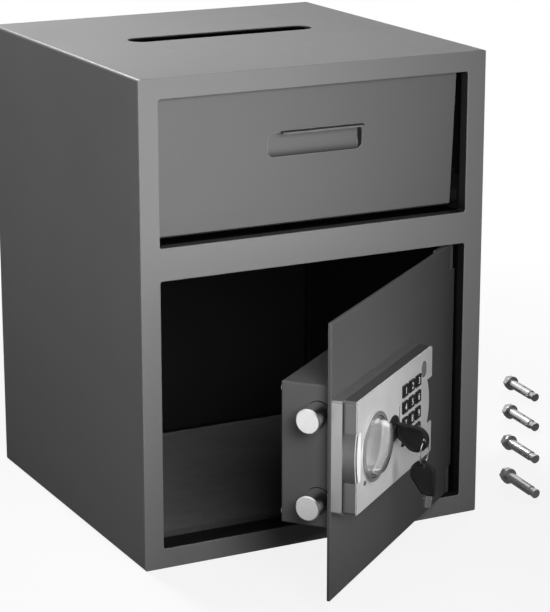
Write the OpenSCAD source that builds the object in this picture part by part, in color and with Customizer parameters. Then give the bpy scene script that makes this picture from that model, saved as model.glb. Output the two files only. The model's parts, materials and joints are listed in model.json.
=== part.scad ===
// Depository safe with a top slot, a tilting deposit flap and a side-hung door with an electronic lock.
// Origin: centre of the base, front face towards -Y, +Z up.

/* [Cabinet] */
// Width of the cabinet
body_w = 350; // [335:1:420]
// Depth of the cabinet, front to back
body_d = 350; // [300:1:450]
// Height of the cabinet
body_h = 450; // [425:1:480]
// Thickness of the cabinet's sheet steel
sheet = 2; // [1.5:0.1:2.4]
// Radius of the cabinet's four long corners
corner_r = 2.5; // [2.5:0.1:6]
// Roundness of the edges of pressed plates
soft_r = 1.2; // [0.6:0.1:1.4]
// Distance between anchor holes, side to side
anchor_dx = 200; // [120:1:280]
// Distance between anchor holes, front to back
anchor_dy = 200; // [120:1:220]
// Radius of an anchor hole
anchor_hole_r = 5.5; // [4:0.5:7]
// Height of the rear pan's folded edge
pan_edge = 12; // [6:1:20]

/* [Front frame] */
// Width of the border round both openings
border = 19; // [17:0.5:26]
// Height of the door opening
door_opening_h = 250; // [235:1:260]
// Height of the rail between the openings
rail_h = 30; // [28:1:40]
// Depth of the folded edge inside each opening
return_d = 12; // [8:0.5:14]
// Depth of the frame's outer lip
lip_d = 3; // [2.6:0.1:6]
// Seam between the frame and the shell
seam = 0.3; // [0.1:0.1:0.8]

/* [Top slot] */
// Length of the deposit slot
slot_l = 193; // [120:1:240]
// Width of the deposit slot
slot_w = 28; // [12:1:36]
// Distance from the hopper's swing to the middle of the slot
slot_clear = 53; // [46:1:70]
// Free height under the slot
baffle_drop = 26; // [16:1:40]
// Slope of the plate under the slot, in degrees
baffle_slope = 32; // [20:1:45]

/* [Deposit hopper] */
// Gap between the flap and each side of its opening
flap_gap = 3; // [2:0.5:6]
// Forward lean of the flap, in degrees
flap_lean = 3.5; // [0:0.5:6]
// Distance of the flap's foot behind the front face
flap_foot = 22.8; // [20:0.1:28]
// Width of the finger pull
pull_w = 96; // [70:1:140]
// Height of the finger pull
pull_h = 22; // [18:1:34]
// Depth of the finger pull
pull_d = 9; // [6:0.5:12]
// Height of the finger pull's foot above the flap's foot
pull_z = 63; // [30:1:85]
// Sideways place of the finger pull
pull_x = 6.7; // [-30:0.1:30]
// Reach of the lip over the finger pull
pull_lip = 7; // [3:0.5:9]
// Thickness of the tray plate
tray_t = 1.5; // [1:0.1:2]
// Radius of the hopper's pivot pins
pivot_r = 4; // [3:0.5:5]

/* [Door] */
// Thickness of the door plate
door_t = 3; // [2.5:0.1:3.6]
// Gap round the door
door_gap = 1.5; // [1:0.1:2]
// Gap beside the door's hinges
hinge_gap = 2.5; // [2.5:0.1:4]
// Distance of the door's outer face behind the front face
door_recess = 10; // [6:0.5:11]
// Opening angle of the door as modelled, in degrees
door_open = 39.3; // [0:0.1:100]
// Radius of the hinge pins
hinge_pin_r = 2.5; // [2:0.1:3]
// Height of a hinge knuckle
knuckle_h = 25; // [15:1:40]

/* [Bolt work] */
// Radius of a locking bolt
bolt_r = 11; // [8:0.5:11]
// Distance between the bolts
bolt_pitch = 77; // [74:0.5:79]
// Reach of the thrown bolts past the door's free edge
bolt_reach = 13; // [12:0.5:16]
// Travel of the bolts
bolt_travel = 19; // [14:0.5:20]
// Length of a bolt
bolt_l = 68; // [67:1:69]
// Width of the lock box
box_w = 199.5; // [195:0.5:220]
// Height of the lock box
box_h = 127; // [120:1:140]
// Depth of the lock box
box_d = 47.5; // [42:0.5:50]
// Thickness of the lock box's sheet
box_t = 1.5; // [1:0.1:2]

/* [Lock panel] */
// Width of the lock panel
panel_w = 187; // [184:0.1:196]
// Height of the lock panel
panel_h = 101; // [96:1:110]
// Height of the panel's base
base_h = 9.7; // [8:0.1:12]
// Height of the panel's face on its base
face_h = 12.3; // [12:0.1:16]
// Height of the lock's centre over the door's middle
lock_rise = 6.5; // [0:0.5:12]
// Radius of the knob's dish
knob_r = 26.5; // [22:0.5:27]
// Height of the knob's grip over the panel
grip_h = 16; // [10:0.5:20]
// Width of the knob's grip
grip_w = 12; // [8:0.5:14]
// Tilt of the grip from upright, in degrees
grip_tilt = 28; // [0:1:45]
// Width of a keypad button
button_w = 12.3; // [11:0.1:13]
// Height of a keypad button
button_h = 11; // [9:0.1:12.5]
// Sideways distance between buttons
button_dx = 16.4; // [15.6:0.1:17]
// Upward distance between buttons
button_dz = 15; // [14:0.1:16]
// Travel of a button
button_travel = 1.2; // [0.6:0.1:1.3]

/* [Emergency keys] */
// Thickness of a key's bow
bow_t = 6; // [4:0.5:7]
// Radius of a key's bow
bow_r = 11.5; // [10:0.5:13]
// Outer radius of a key's barrel
key_r = 3.75; // [3.4:0.05:3.9]
// Radius of the key ring
ring_r = 10.5; // [9:0.5:13]
// Radius of the key ring's wire
wire_r = 0.7; // [0.5:0.1:0.9]

/* [Floor mat and anchors] */
// Thickness of the mat
mat_t = 5; // [2:0.5:8]
// Distance of the mat's front edge behind the front face
mat_front = 66; // [50:1:90]
// Length of an anchor bolt
anchor_l = 60; // [45:1:80]
// Radius of an anchor's sleeve
sleeve_r = 5; // [4:0.5:6.5]
// Distance from the cabinet's side to the first anchor
anchor_off = 70; // [15:1:90]

/* [Hidden] */
$fn = 48;

// clearances
run_gap = 0.05;
seat_gap = 0.3;
past = 1;

// openings in the front frame
opening_w = body_w - 2 * border;
opening_r = 2;
upper_h = body_h - 2 * border - door_opening_h - rail_h;
sill_z = border + door_opening_h + rail_h;
wall_x = body_w / 2 - sheet;

// deposit hopper, about its pivot
flap_w = opening_w - 2 * flap_gap;
foot_gap = 4;
top_gap = 2.5;
flap_h = (upper_h - foot_gap - top_gap) / cos(flap_lean);
flap_edge = 8;
pivot_y = 30;
pivot_z = sill_z + 10.5;
cheek_x = flap_w / 2 - sheet;
cheek_t = 2;
hopper_r = upper_h - 17;
tray_l = hopper_r - 3;
tray_low = 8;
tray_tilt = 2;
tray_x = cheek_x - cheek_t - seat_gap;
ear_x = wall_x - 13;
bush_r = 6;
shelf_z = sill_z - 15;
bumper_r = 6;
bumper_in = 22;
bumper_x = cheek_x - 40;
bumper_y = pivot_y + tray_l - bumper_in;
shelf_front = 14;
shelf_back = bumper_y + bumper_r + 4;

// top slot
slot_y = pivot_y + hopper_r + slot_clear;

// door, in its closed place: s runs from the free edge to the hinge, w outwards from the outer face
door_w = opening_w - door_gap - hinge_gap;
door_h = door_opening_h - 2 * door_gap;
door_z = border + door_gap;
door_x = -opening_w / 2 + door_gap;
hinge_in = 6.5;
hinge_back = 5;
hinge_s = door_w - hinge_in;
hinge_x = door_x + hinge_s;
hinge_y = door_recess + hinge_back;
knuckle_r = 5;
washer_r = 5;
lug_t = 3;
lug_r = 7;
lock_z = door_z + door_h / 2 + lock_rise;

// bolt work, from the lock's centre
spindle_s = 44;
spindle_z = -0.5;
spindle_r = 4;
bolt_mid = -5;
bolt_w = -door_t - 2 - bolt_r;
bolt_s = -bolt_reach;
bar_t = 3;
bar_s = bolt_s + bolt_l;
bar_w = bolt_w - bolt_r;
crank_r = bolt_travel / (2 * sin(45));
crank_turn = 45;
pin_r = 3;
crank_t = 4;
crank_wall = 2.6;
box_s = 11.5;
box_mid = -5;
box_back = -door_t - box_d;
post_r = 4;
post_in = 8;
strike_gap = 1;
strike_d = 34;
strike_over = 50;

// lock panel
panel_s = 0.7;
panel_wall = 2.2;
face_in = 3.3;
face_t = 2.5;
face_w = base_h + face_h;
bezel_r = 31;
cylinder_s = 89.5;
cylinder_z = 1.5;
cylinder_r = 8;
cylinder_in = 17;
plug_r = 5.5;
pad_s = 133;
pad_z = 5.5;
board_w = base_h + 2.3;
board = [59, 66, 1.6];
peg = [25.5, 29];
window = [12, 15.5];
window_s = 165.5;
window_z = 34;
groove_s = pad_s - 28;
slot_pin_gap = 0.75;
face_screw = [21.5, -26.5];

// keys
bow_neck = 18.5;
bow_drop = 7;
eye_r = 2.2;
eye_in = 7.5;
key_in = 8;
key_out = 3;
key_s = cylinder_s;
bow_w = face_w + key_out;
eye_w = bow_w + bow_neck + eye_in;
eye_z = cylinder_z - bow_drop;
ring_sag = ring_r - sqrt(pow(ring_r, 2) - pow(bow_t / 2, 2));
ring_lift = wire_r + seat_gap + ring_sag;
ring_top = eye_z - eye_r + ring_lift;
ring_low = ring_top - 2 * ring_r;
spare_eye = ring_low + ring_lift - eye_r;
spare_tilt = 6;

// places
module at_front() translate([0, -body_d / 2, 0]) children();
module hopper_frame() at_front() translate([0, pivot_y, pivot_z]) children();
module flap_frame() at_front() translate([0, flap_foot, sill_z + foot_gap])
    rotate([flap_lean, 0, 0]) children();
module tray_frame() hopper_frame() rotate([-tray_tilt, 0, 0]) children();
module on_door() at_front() translate([hinge_x, hinge_y, 0]) rotate([0, 0, door_open])
    translate([-hinge_s, -hinge_back, 0]) children();
module on_lock() on_door() translate([0, 0, lock_z]) children();
module both_sides() for (m = [0, 1]) mirror([m, 0, 0]) children();

// extrusions of a flat shape along each direction
module up(z0, z1) translate([0, 0, z0]) linear_extrude(z1 - z0) children();
module along_y(y0, y1) translate([0, y1, 0]) rotate([90, 0, 0]) linear_extrude(y1 - y0) children();
module along_x(x0, x1) translate([x0, 0, 0]) rotate([90, 0, 90]) linear_extrude(x1 - x0) children();
module out(w0, w1) along_y(-w1, -w0) children();

// flat shapes
module round_box(w, h, r) {
    translate([r, 0]) square([w - 2 * r, h]);
    translate([0, r]) square([w, h - 2 * r]);
    for (x = [r, w - r], y = [r, h - r]) translate([x, y]) circle(r);
}
module mid_box(w, h, r) translate([-w / 2, -h / 2]) round_box(w, h, r);
module disc(r, x = 0, y = 0) translate([x, y]) circle(r);
module opening(h, grow) translate([-opening_w / 2 - grow, -grow])
    round_box(opening_w + 2 * grow, h + 2 * grow, opening_r + grow);

// block with all its edges rounded
module soft_block(w, d, h, r) intersection() {
    up(0, h) round_box(w, d, r);
    along_x(0, w) round_box(d, h, r);
    along_y(0, d) round_box(w, h, r);
}

// quarter round taken off the sharp front edge of an opening
module edge_round(h) {
    module section() difference() {
        translate([-1, -1]) square(soft_r + 1);
        disc(soft_r, soft_r, soft_r);
    }
    for (m = [0, 1]) mirror([m, 0, 0]) translate([opening_w / 2, 0, 0])
        up(opening_r, h - opening_r) section();
    for (z = [0, h]) translate([0, 0, z]) mirror([0, 0, z > 0 ? 0 : 1]) rotate([90, 0, 90])
        translate([0, 0, -opening_w / 2 + opening_r]) linear_extrude(opening_w - 2 * opening_r)
        rotate(90) mirror([0, 1]) section();
    for (x = [-1, 1], z = [opening_r, h - opening_r]) translate([x * (opening_w / 2 - opening_r), 0, z])
        rotate([-90, 0, 0]) rotate_extrude() difference() {
            translate([0, -1]) square([opening_r + soft_r, soft_r + 1]);
            disc(soft_r, opening_r + soft_r, soft_r);
        }
}

// cabinet
module cabinet_shell() color("dimgray") at_front() difference() {
    along_y(lip_d + seam, body_d) difference() {
        translate([-body_w / 2, 0]) round_box(body_w, body_h, corner_r);
        translate([-wall_x, sheet]) round_box(2 * wall_x, body_h - 2 * sheet, corner_r - sheet);
    }
    up(body_h - sheet - past, body_h + past) translate([0, slot_y]) mid_box(slot_l, slot_w, slot_w / 2 - 0.1);
    for (x = [-1, 1], y = [-1, 1]) translate([x * anchor_dx / 2, body_d / 2 + y * anchor_dy / 2, -past])
        cylinder(h = sheet + 2 * past, r = anchor_hole_r);
}

module back_panel() color("dimgray") at_front() {
    fit = 0.2;
    w = 2 * (wall_x - fit);
    h = body_h - 2 * (sheet + fit);
    difference() {
        along_y(body_d - pan_edge, body_d) translate([-w / 2, sheet + fit]) round_box(w, h, corner_r);
        along_y(body_d - pan_edge - past, body_d - sheet) translate([-w / 2 + sheet, 2 * sheet + fit])
            round_box(w - 2 * sheet, h - 2 * sheet, corner_r - 1);
    }
}

module front_frame() color("gray") at_front() difference() {
    union() {
        difference() {
            intersection() {
                along_y(0, lip_d) translate([-body_w / 2, 0]) round_box(body_w, body_h, corner_r);
                up(0, body_h) translate([-body_w / 2, 0]) round_box(body_w, body_w, soft_r);
                along_x(-body_w / 2, body_w / 2) round_box(body_h, body_h, soft_r);
            }
            along_y(sheet, lip_d + past) translate([-wall_x, sheet])
                round_box(2 * wall_x, body_h - 2 * sheet, corner_r - sheet + 0.01);
        }
        along_y(0.5, return_d) {
            translate([0, border]) opening(door_opening_h, sheet);
            translate([0, sill_z]) opening(upper_h, sheet);
        }
    }
    along_y(-past, return_d + past) {
        translate([0, border]) opening(door_opening_h, 0);
        translate([0, sill_z]) opening(upper_h, 0);
    }
    translate([0, 0, border]) edge_round(door_opening_h);
    translate([0, 0, sill_z]) edge_round(upper_h);
    translate([hinge_x, hinge_y, border - sheet - past])
        cylinder(h = door_opening_h + 2 * (sheet + past), r = washer_r + 1);
}

module divider_shelf() color("dimgray") at_front() {
    w = wall_x - seat_gap;
    up(shelf_z, shelf_z + sheet) translate([-w, shelf_front]) square([2 * w, shelf_back - shelf_front]);
    up(shelf_z - pan_edge, shelf_z + sheet) {
        for (x = [-w, w - sheet]) translate([x, shelf_front]) square([sheet, shelf_back - shelf_front]);
        translate([-w, shelf_back - sheet]) square([2 * w, sheet]);
    }
}

module slot_baffle() color("dimgray") at_front() {
    t = 1.5;
    lap = 20;
    clear = 6;
    top = body_h - sheet;
    edge = slot_y - slot_w / 2 - clear;
    half = slot_l / 2 + lap;
    along_x(-half, half) {
        translate([edge - lap, top - t]) square([lap, t]);
        translate([edge - t, top - baffle_drop]) square([t, baffle_drop]);
        translate([edge - t, top - baffle_drop]) rotate(-baffle_slope) square([slot_w + 5 * clear, t]);
    }
}

module strike_channel() color("dimgray") at_front() {
    half_h = bolt_pitch / 2 + strike_over;
    mid = lock_z + bolt_mid;
    face_x = -opening_w / 2 - sheet;
    difference() {
        translate([face_x, return_d, mid - half_h]) cube([sheet, strike_d, 2 * half_h]);
        for (z = [-1, 1]) translate([face_x - past, door_recess - bolt_w, mid + z * bolt_pitch / 2])
            rotate([0, 90, 0]) cylinder(h = sheet + 2 * past, r = bolt_r + strike_gap);
    }
    translate([-wall_x, return_d + strike_d - sheet, mid - half_h])
        cube([face_x + wall_x + sheet, sheet, 2 * half_h]);
}

// hinges
module lug_plate() difference() {
    union() {
        up(0, lug_t) translate([hinge_x - lug_r - 10, sheet])
            square([opening_w / 2 + sheet - hinge_x + lug_r + 10, hinge_y - sheet]);
        up(0, lug_t) translate([hinge_x - lug_r - 10, sheet]) square([lug_r + 10, hinge_y + lug_r - sheet]);
        translate([hinge_x, hinge_y, 0]) cylinder(h = lug_t, r = lug_r);
    }
    translate([hinge_x, hinge_y, -past]) cylinder(h = lug_t + 2 * past, r = hinge_pin_r + run_gap);
}
lug_low = border - sheet - lug_t;
lug_high = border + door_opening_h + sheet;
module hinge_lugs() color("dimgray") at_front() for (z = [lug_low, lug_high]) translate([0, 0, z]) lug_plate();

module hinge_pins() color("silver") at_front() translate([hinge_x, hinge_y, 0]) {
    head = 2.5;
    low = door_z + knuckle_h;
    high = door_z + door_h - knuckle_h;
    translate([0, 0, lug_low - head]) cylinder(h = head, r = hinge_pin_r + 2);
    translate([0, 0, lug_low - 0.5]) cylinder(h = low - lug_low, r = hinge_pin_r);
    translate([0, 0, lug_high + lug_t]) cylinder(h = head, r = hinge_pin_r + 2);
    translate([0, 0, high]) cylinder(h = lug_high + lug_t + 0.5 - high, r = hinge_pin_r);
}

module hinge_washers() color("silver") at_front() translate([hinge_x, hinge_y, 0]) {
    z0 = lug_low + lug_t;
    difference() {
        translate([0, 0, z0]) cylinder(h = door_z - seat_gap - z0, r = washer_r);
        translate([0, 0, z0 - past]) cylinder(h = door_z - z0 + 2 * past, r = hinge_pin_r + run_gap);
    }
}

// hopper supports
module hopper_brackets() color("dimgray") hopper_frame() both_sides() {
    low = -13;
    high = 20;
    front = 14;
    deep = 18;
    difference() {
        translate([ear_x, -front, low]) cube([sheet, front + deep + sheet, high - low]);
        translate([ear_x - past, 0, 0]) rotate([0, 90, 0]) cylinder(h = sheet + 2 * past, r = bush_r);
    }
    translate([ear_x, deep, low]) cube([wall_x - ear_x, sheet, high - low]);
    translate([wall_x - sheet, deep, low]) cube([sheet, deep + 6, high - low]);
}

module hopper_bushes() color("white") hopper_frame() both_sides() rotate([0, 90, 0]) difference() {
    union() {
        translate([0, 0, flap_w / 2 + seat_gap]) cylinder(h = ear_x - flap_w / 2 - seat_gap, r = bush_r + 2);
        translate([0, 0, ear_x]) cylinder(h = sheet + past, r = bush_r);
    }
    cylinder(h = body_w, r = pivot_r + run_gap);
}

module hopper_bumpers() color("black") at_front() {
    tray_z = pivot_z - tray_low - (bumper_y - pivot_y) * tan(tray_tilt);
    for (x = [-1, 1]) translate([x * bumper_x, bumper_y, shelf_z + sheet])
        cylinder(h = tray_z - 0.5 - shelf_z - sheet, r = bumper_r);
}

module floor_mat() color("#2b2b2d") at_front() difference() {
    side_gap = 3;
    rear_gap = 2;
    x = wall_x - side_gap;
    y = body_d - pan_edge - rear_gap - mat_front;
    translate([-x, mat_front, sheet]) up(0, mat_t) round_box(2 * x, y, 3);
    for (i = [-1, 1], j = [-1, 1]) translate([i * anchor_dx / 2, body_d / 2 + j * anchor_dy / 2, 0])
        cylinder(h = 4 * mat_t, r = anchor_hole_r + 4);
}

// loose anchor bolts, lying in a slanting row beside the cabinet
stud_r = sleeve_r - 1.2;
anchor_nut_r = 8;
anchor_head = 12;
anchor_row = 87;
anchor_step = 57;
anchor_cone = 9;
anchor_slit = 20;
anchor_slope = asin((anchor_nut_r - sleeve_r) / (anchor_l - anchor_head));
module anchor_places() at_front() for (i = [0:3])
    translate([body_w / 2 + anchor_off + i * anchor_step, i * anchor_row + anchor_l,
        anchor_nut_r * cos(anchor_slope) + anchor_head * sin(anchor_slope)])
    rotate([90 + anchor_slope, 0, 0]) children();

module anchor_studs() color("silver") anchor_places() {
    cylinder(h = anchor_l - anchor_cone, r = stud_r);
    translate([0, 0, anchor_l - anchor_cone])
        cylinder(h = anchor_cone, r1 = stud_r, r2 = sleeve_r - 0.2, $fn = 32);
}
module anchor_sleeves() color("lightgray") anchor_places() difference() {
    translate([0, 0, anchor_head + seat_gap])
        cylinder(h = anchor_l - anchor_cone - anchor_head - 2 * seat_gap, r = sleeve_r);
    cylinder(h = anchor_l, r = stud_r + run_gap);
    for (a = [0, 90]) rotate([0, 0, a]) translate([-0.6, -sleeve_r - past, anchor_l - anchor_slit - 6])
        cube([1.2, 2 * (sleeve_r + past), anchor_slit]);
}
module anchor_nuts() color("silver") anchor_places() difference() {
    union() {
        translate([0, 0, anchor_head - 1.5]) cylinder(h = 1.5, r = anchor_nut_r);
        translate([0, 0, 4]) cylinder(h = 6.2, r = anchor_nut_r - 0.6, $fn = 6);
    }
    cylinder(h = 20, r = stud_r + run_gap);
}

// deposit hopper
module pull_shape(g) intersection() {
    along_y(-past, pull_d + g) translate([pull_x - pull_w / 2 - g, pull_z - g])
        round_box(pull_w + 2 * g, pull_h + 2 * g, 6 + g);
    scoop_r = 14 + g;
    scoop_z = pull_z + 13;
    union() {
        translate([-flap_w / 2, pull_d - 14, scoop_z]) rotate([0, 90, 0]) cylinder(h = flap_w, r = scoop_r);
        translate([-flap_w / 2, -past - 1, scoop_z]) cube([flap_w, pull_d + g + 3, pull_h]);
    }
}

module hopper_flap() color("gray") flap_frame() {
    difference() {
        translate([-flap_w / 2, 0, 0]) intersection() {
            soft_block(flap_w, 40, flap_h, soft_r);
            cube([flap_w, flap_edge + sheet, flap_h]);
        }
        translate([-flap_w / 2 + sheet, sheet, -past]) cube([flap_w - 2 * sheet, 40, flap_h - sheet + past]);
        pull_shape(0);
        rotate([-flap_lean, 0, 0]) translate([-flap_w, pivot_y - flap_foot, pivot_z - sill_z - foot_gap])
            rotate([0, 90, 0]) cylinder(h = 2 * flap_w, r = pivot_r);
    }
    difference() {
        intersection() {
            pull_shape(sheet - 0.5);
            translate([-flap_w / 2, sheet, 0]) cube([flap_w, 40, flap_h]);
        }
        pull_shape(0);
    }
    lip_w = pull_w - 12;
    up(pull_z + pull_h, pull_z + pull_h + 1.5) translate([pull_x + pull_w / 2 - lip_w, -pull_lip])
        round_box(lip_w, pull_lip + sheet, 4);
}

module cheek_shape() difference() {
    circle(hopper_r);
    rotate(-tray_tilt) translate([-body_h, -body_h - tray_low]) square([2 * body_h, body_h]);
    translate([flap_foot - pivot_y, sill_z + foot_gap - pivot_z]) rotate(flap_lean)
        translate([-body_h + sheet, -body_h]) square([body_h, 2 * body_h]);
    disc(pivot_r);
}
module hopper_cheeks() color("gray") hopper_frame() for (x = [-cheek_x, cheek_x - cheek_t])
    along_x(x, x + cheek_t) cheek_shape();

module hopper_tray() color("gray") {
    wall_h = 11;
    wall_y = 12;
    tab_h = 13;
    tab_in = 5;
    tray_frame() {
        translate([-tray_x, -4, -tray_low]) cube([2 * tray_x, tray_l + 4, tray_t]);
        for (x = [-tray_x, tray_x - tray_t]) translate([x, wall_y, -tray_low])
            cube([tray_t, tray_l - wall_y, wall_h]);
    }
    flap_frame() translate([tab_in - tray_x, sheet, -1]) cube([2 * (tray_x - tab_in), tray_t, tab_h]);
}

module hopper_pivots() color("silver") hopper_frame() both_sides() rotate([0, 90, 0]) {
    inner = cheek_x - cheek_t;
    translate([0, 0, inner - 2]) cylinder(h = 2, r = pivot_r + 1);
    translate([0, 0, inner - 0.5]) cylinder(h = ear_x + 5 - inner, r = pivot_r);
}

// door
module door_panel() color("#4a4a4c") on_door() {
    notch_in = knuckle_r + 1;
    difference() {
        translate([0, 0, door_z]) intersection() {
            soft_block(door_w, 4 * door_t, door_h, soft_r);
            cube([door_w, door_t, door_h]);
        }
        for (z = [door_z - past, door_z + door_h - knuckle_h - past]) translate([hinge_s - notch_in, -past, z])
            cube([notch_in + hinge_in + past, door_t + 2 * past, knuckle_h + 2 * past]);
        translate([0, 0, lock_z]) {
            out(-door_t - past, past) {
                disc(spindle_r + 3, spindle_s, spindle_z);
                disc(cylinder_r + run_gap, cylinder_s, cylinder_z);
                disc(4, cable_s, cable_z);
            }
        }
    }
    translate([0, 0, lock_z]) box_corners() out(box_back + box_t, -door_t) difference() {
        circle(post_r);
        circle(1.6);
    }
}

leaf = [38, 3];
module door_knuckles() color("#4a4a4c") on_door() for (z = [door_z, door_z + door_h - knuckle_h])
    translate([0, 0, z]) difference() {
        union() {
            translate([hinge_s - leaf[0], door_t, 0]) cube([leaf[0], leaf[1], knuckle_h]);
            translate([hinge_s, hinge_back, 0]) cylinder(h = knuckle_h, r = knuckle_r);
        }
        translate([hinge_s, hinge_back, -past]) cylinder(h = knuckle_h + 2 * past, r = hinge_pin_r + run_gap);
    }

// lock box on the back of the door
module box_corners() for (s = [post_in, box_w - post_in], z = [-1, 1] * (box_h / 2 - post_in))
    translate([box_s + s, 0, box_mid + z]) children();
module bolt_places() for (z = [-1, 1]) translate([0, -bolt_w, bolt_mid + z * bolt_pitch / 2])
    rotate([0, 90, 0]) children();

module lock_box() color("#4a4a4c") on_lock() difference() {
    intersection() {
        translate([box_s, 0, box_mid - box_h / 2]) soft_block(box_w, door_t + box_d, box_h, 2);
        translate([0, door_t, box_mid - box_h]) cube([2 * box_w, box_d, 2 * box_h]);
    }
    out(box_back + box_t, 0) translate([box_s + box_t, box_mid - box_h / 2 + box_t])
        round_box(box_w - 2 * box_t, box_h - 2 * box_t, 1);
    bolt_places() cylinder(h = 4 * box_s, r = bolt_r + 0.5);
    box_corners() out(box_back - past, 0) circle(2.2);
    out(box_back - past, 0) translate([cell_s, cell_z]) mid_box(cells_w + 2, cells_h + 2, 2);
}

module lock_screws() color("silver") on_lock() {
    box_corners() {
        out(box_back - 1.8, box_back) circle(3.6);
        out(box_back - 0.5, box_back + 9) circle(1.55);
    }
    out(face_w, face_w + 0.8) disc(2, face_screw[0], face_screw[1]);
    out(base_h, face_w + 0.4) disc(1.2, face_screw[0], face_screw[1]);
}

module bolt_guide() color("silver") on_lock() {
    half = bolt_r + 2.4;
    plate_t = 1.5;
    plate_half = 12;
    difference() {
        out(-door_t - plate_t, -door_t)
            translate([spindle_s - plate_half + 2, bolt_mid - bolt_pitch / 2 - half])
            square([2 * plate_half, bolt_pitch + 2 * half]);
        out(-door_t - 2 * plate_t, 0) disc(plate_half, spindle_s, spindle_z);
    }
    difference() {
        for (z = [-1, 1]) translate([spindle_s + 2, door_t, bolt_mid + z * bolt_pitch / 2 - half])
            cube([2, half - bolt_w - door_t, 2 * half]);
        bolt_places() cylinder(h = bolt_l, r = bolt_r + run_gap);
    }
}

module spindle_bush() color("khaki") on_lock() difference() {
    union() {
        out(-door_t - 2, -door_t) disc(spindle_r + 5.5, spindle_s, spindle_z);
        out(-door_t - 1, 2) disc(spindle_r + 3 - run_gap, spindle_s, spindle_z);
    }
    out(-door_t - 3, 3) disc(spindle_r + run_gap, spindle_s, spindle_z);
}

module lock_bolts() color("lightgray") on_lock() bolt_places() {
    translate([0, 0, bolt_s]) {
        cylinder(h = 1, r1 = bolt_r - 1, r2 = bolt_r);
        translate([0, 0, 1]) cylinder(h = bolt_l - 1, r = bolt_r);
        translate([0, 0, bolt_l - 0.5]) cylinder(h = bar_t + 0.5, r = 4);
        translate([0, 0, bolt_l + bar_t]) cylinder(h = 1.5, r = 5.5);
    }
}

module bolt_bar() color("silver") on_lock() difference() {
    arm_low = spindle_z + crank_r * cos(crank_turn) - pin_r - 20;
    arm_high = spindle_z + crank_r + pin_r + 2.5;
    slot_half = pin_r + slot_pin_gap;
    slot_s = spindle_s - bolt_travel / 2;
    union() {
        translate([bar_s, -bolt_w - 7, bolt_mid - bolt_pitch / 2 - 8])
            cube([bar_t, bolt_r + 7 + bar_t, bolt_pitch + 16]);
        translate([slot_s - slot_half - 4, -bar_w, arm_low])
            cube([bar_s + 1 - slot_s + slot_half + 4, bar_t, arm_high - arm_low]);
    }
    bolt_places() cylinder(h = 2 * bolt_l, r = 4);
    out(bar_w - bar_t - past, bar_w + past)
        translate([slot_s - slot_half, spindle_z + crank_r * cos(crank_turn) - slot_half - 1])
        round_box(2 * slot_half, crank_r * (1 - cos(crank_turn)) + 2 * slot_half + 2, slot_half - 0.1);
}

module cam_spindle() color("silver") on_lock() {
    pin_s = spindle_s - crank_r * sin(crank_turn);
    pin_z = spindle_z + crank_r * cos(crank_turn);
    crank_w = bar_w + 1;
    half = pin_r + crank_wall;
    out(crank_w + crank_t - 1, face_w - 4) disc(spindle_r, spindle_s, spindle_z);
    out(crank_w, crank_w + crank_t) disc(spindle_r + crank_wall, spindle_s, spindle_z);
    out(crank_w, crank_w + crank_t) disc(half, pin_s, pin_z);
    out(crank_w, crank_w + crank_t) translate([spindle_s, spindle_z]) rotate(crank_turn)
        translate([1 - half, 0]) square([2 * half - 2, crank_r]);
    out(bar_w - bar_t - 0.6, crank_w + 1) disc(pin_r, pin_s, pin_z);
}

// solenoid behind the bolt bar
coil_s = bar_s + bar_t + 4;
coil_w = bar_w - bar_t - 1.2;
coil_r = 9.2;
plunger_r = 2.5;
yoke = [14, 19];
module solenoid() color("#5a4632") on_lock() difference() {
    union() {
        out(box_back + box_t, coil_w) translate([coil_s, spindle_z]) mid_box(yoke[0], yoke[1], 1);
        out(box_back + box_t + 3, coil_w - 2) disc(coil_r, coil_s, spindle_z);
    }
    out(box_back + box_t + 1, 0) disc(plunger_r + run_gap, coil_s, spindle_z);
}
module plunger() color("silver") on_lock()
    out(box_back + box_t + 1.5, coil_w + 0.6) disc(plunger_r, coil_s, spindle_z);

// battery compartment
cell_s = 157;
cell_z = 0.5;
cell_r = 7.25;
cell_l = 50.5;
cells_w = cell_l + 7.5;
cells_h = 8 * cell_r + 6;
cell_pitch = 2 * cell_r + 0.5;
cell_w = box_back + cell_r + 2.75;
module cells() for (i = [-1.5:1.5]) translate([cell_s - cell_l / 2, -cell_w, cell_z + i * cell_pitch])
    rotate([0, 90, 0]) children();
module battery_holder() color("#222222") on_lock() difference() {
    out(box_back + box_t + 0.1, cell_w + cell_r + 1.75) translate([cell_s, cell_z])
        mid_box(cells_w, cells_h, 1.5);
    out(box_back, cell_w + cell_r + seat_gap) translate([cell_s, cell_z])
        mid_box(cells_w - 3.5, cells_h - 3.5, 1);
}
module batteries() color("#8d8d8d") on_lock() cells() {
    cylinder(h = cell_l - 1, r = cell_r);
    translate([0, 0, cell_l - 1]) cylinder(h = 1, r = 2.7);
}
module battery_cover() color("#222222") on_lock() {
    out(box_back - 2, box_back) translate([cell_s, cell_z]) mid_box(cells_w + 8, cells_h + 8, 3);
    out(box_back - 1, box_back + box_t - 0.1) translate([cell_s, cell_z]) difference() {
        mid_box(cells_w + 1.4, cells_h + 1.4, 1.7);
        mid_box(cells_w - 2, cells_h - 2, 1);
    }
}

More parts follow.
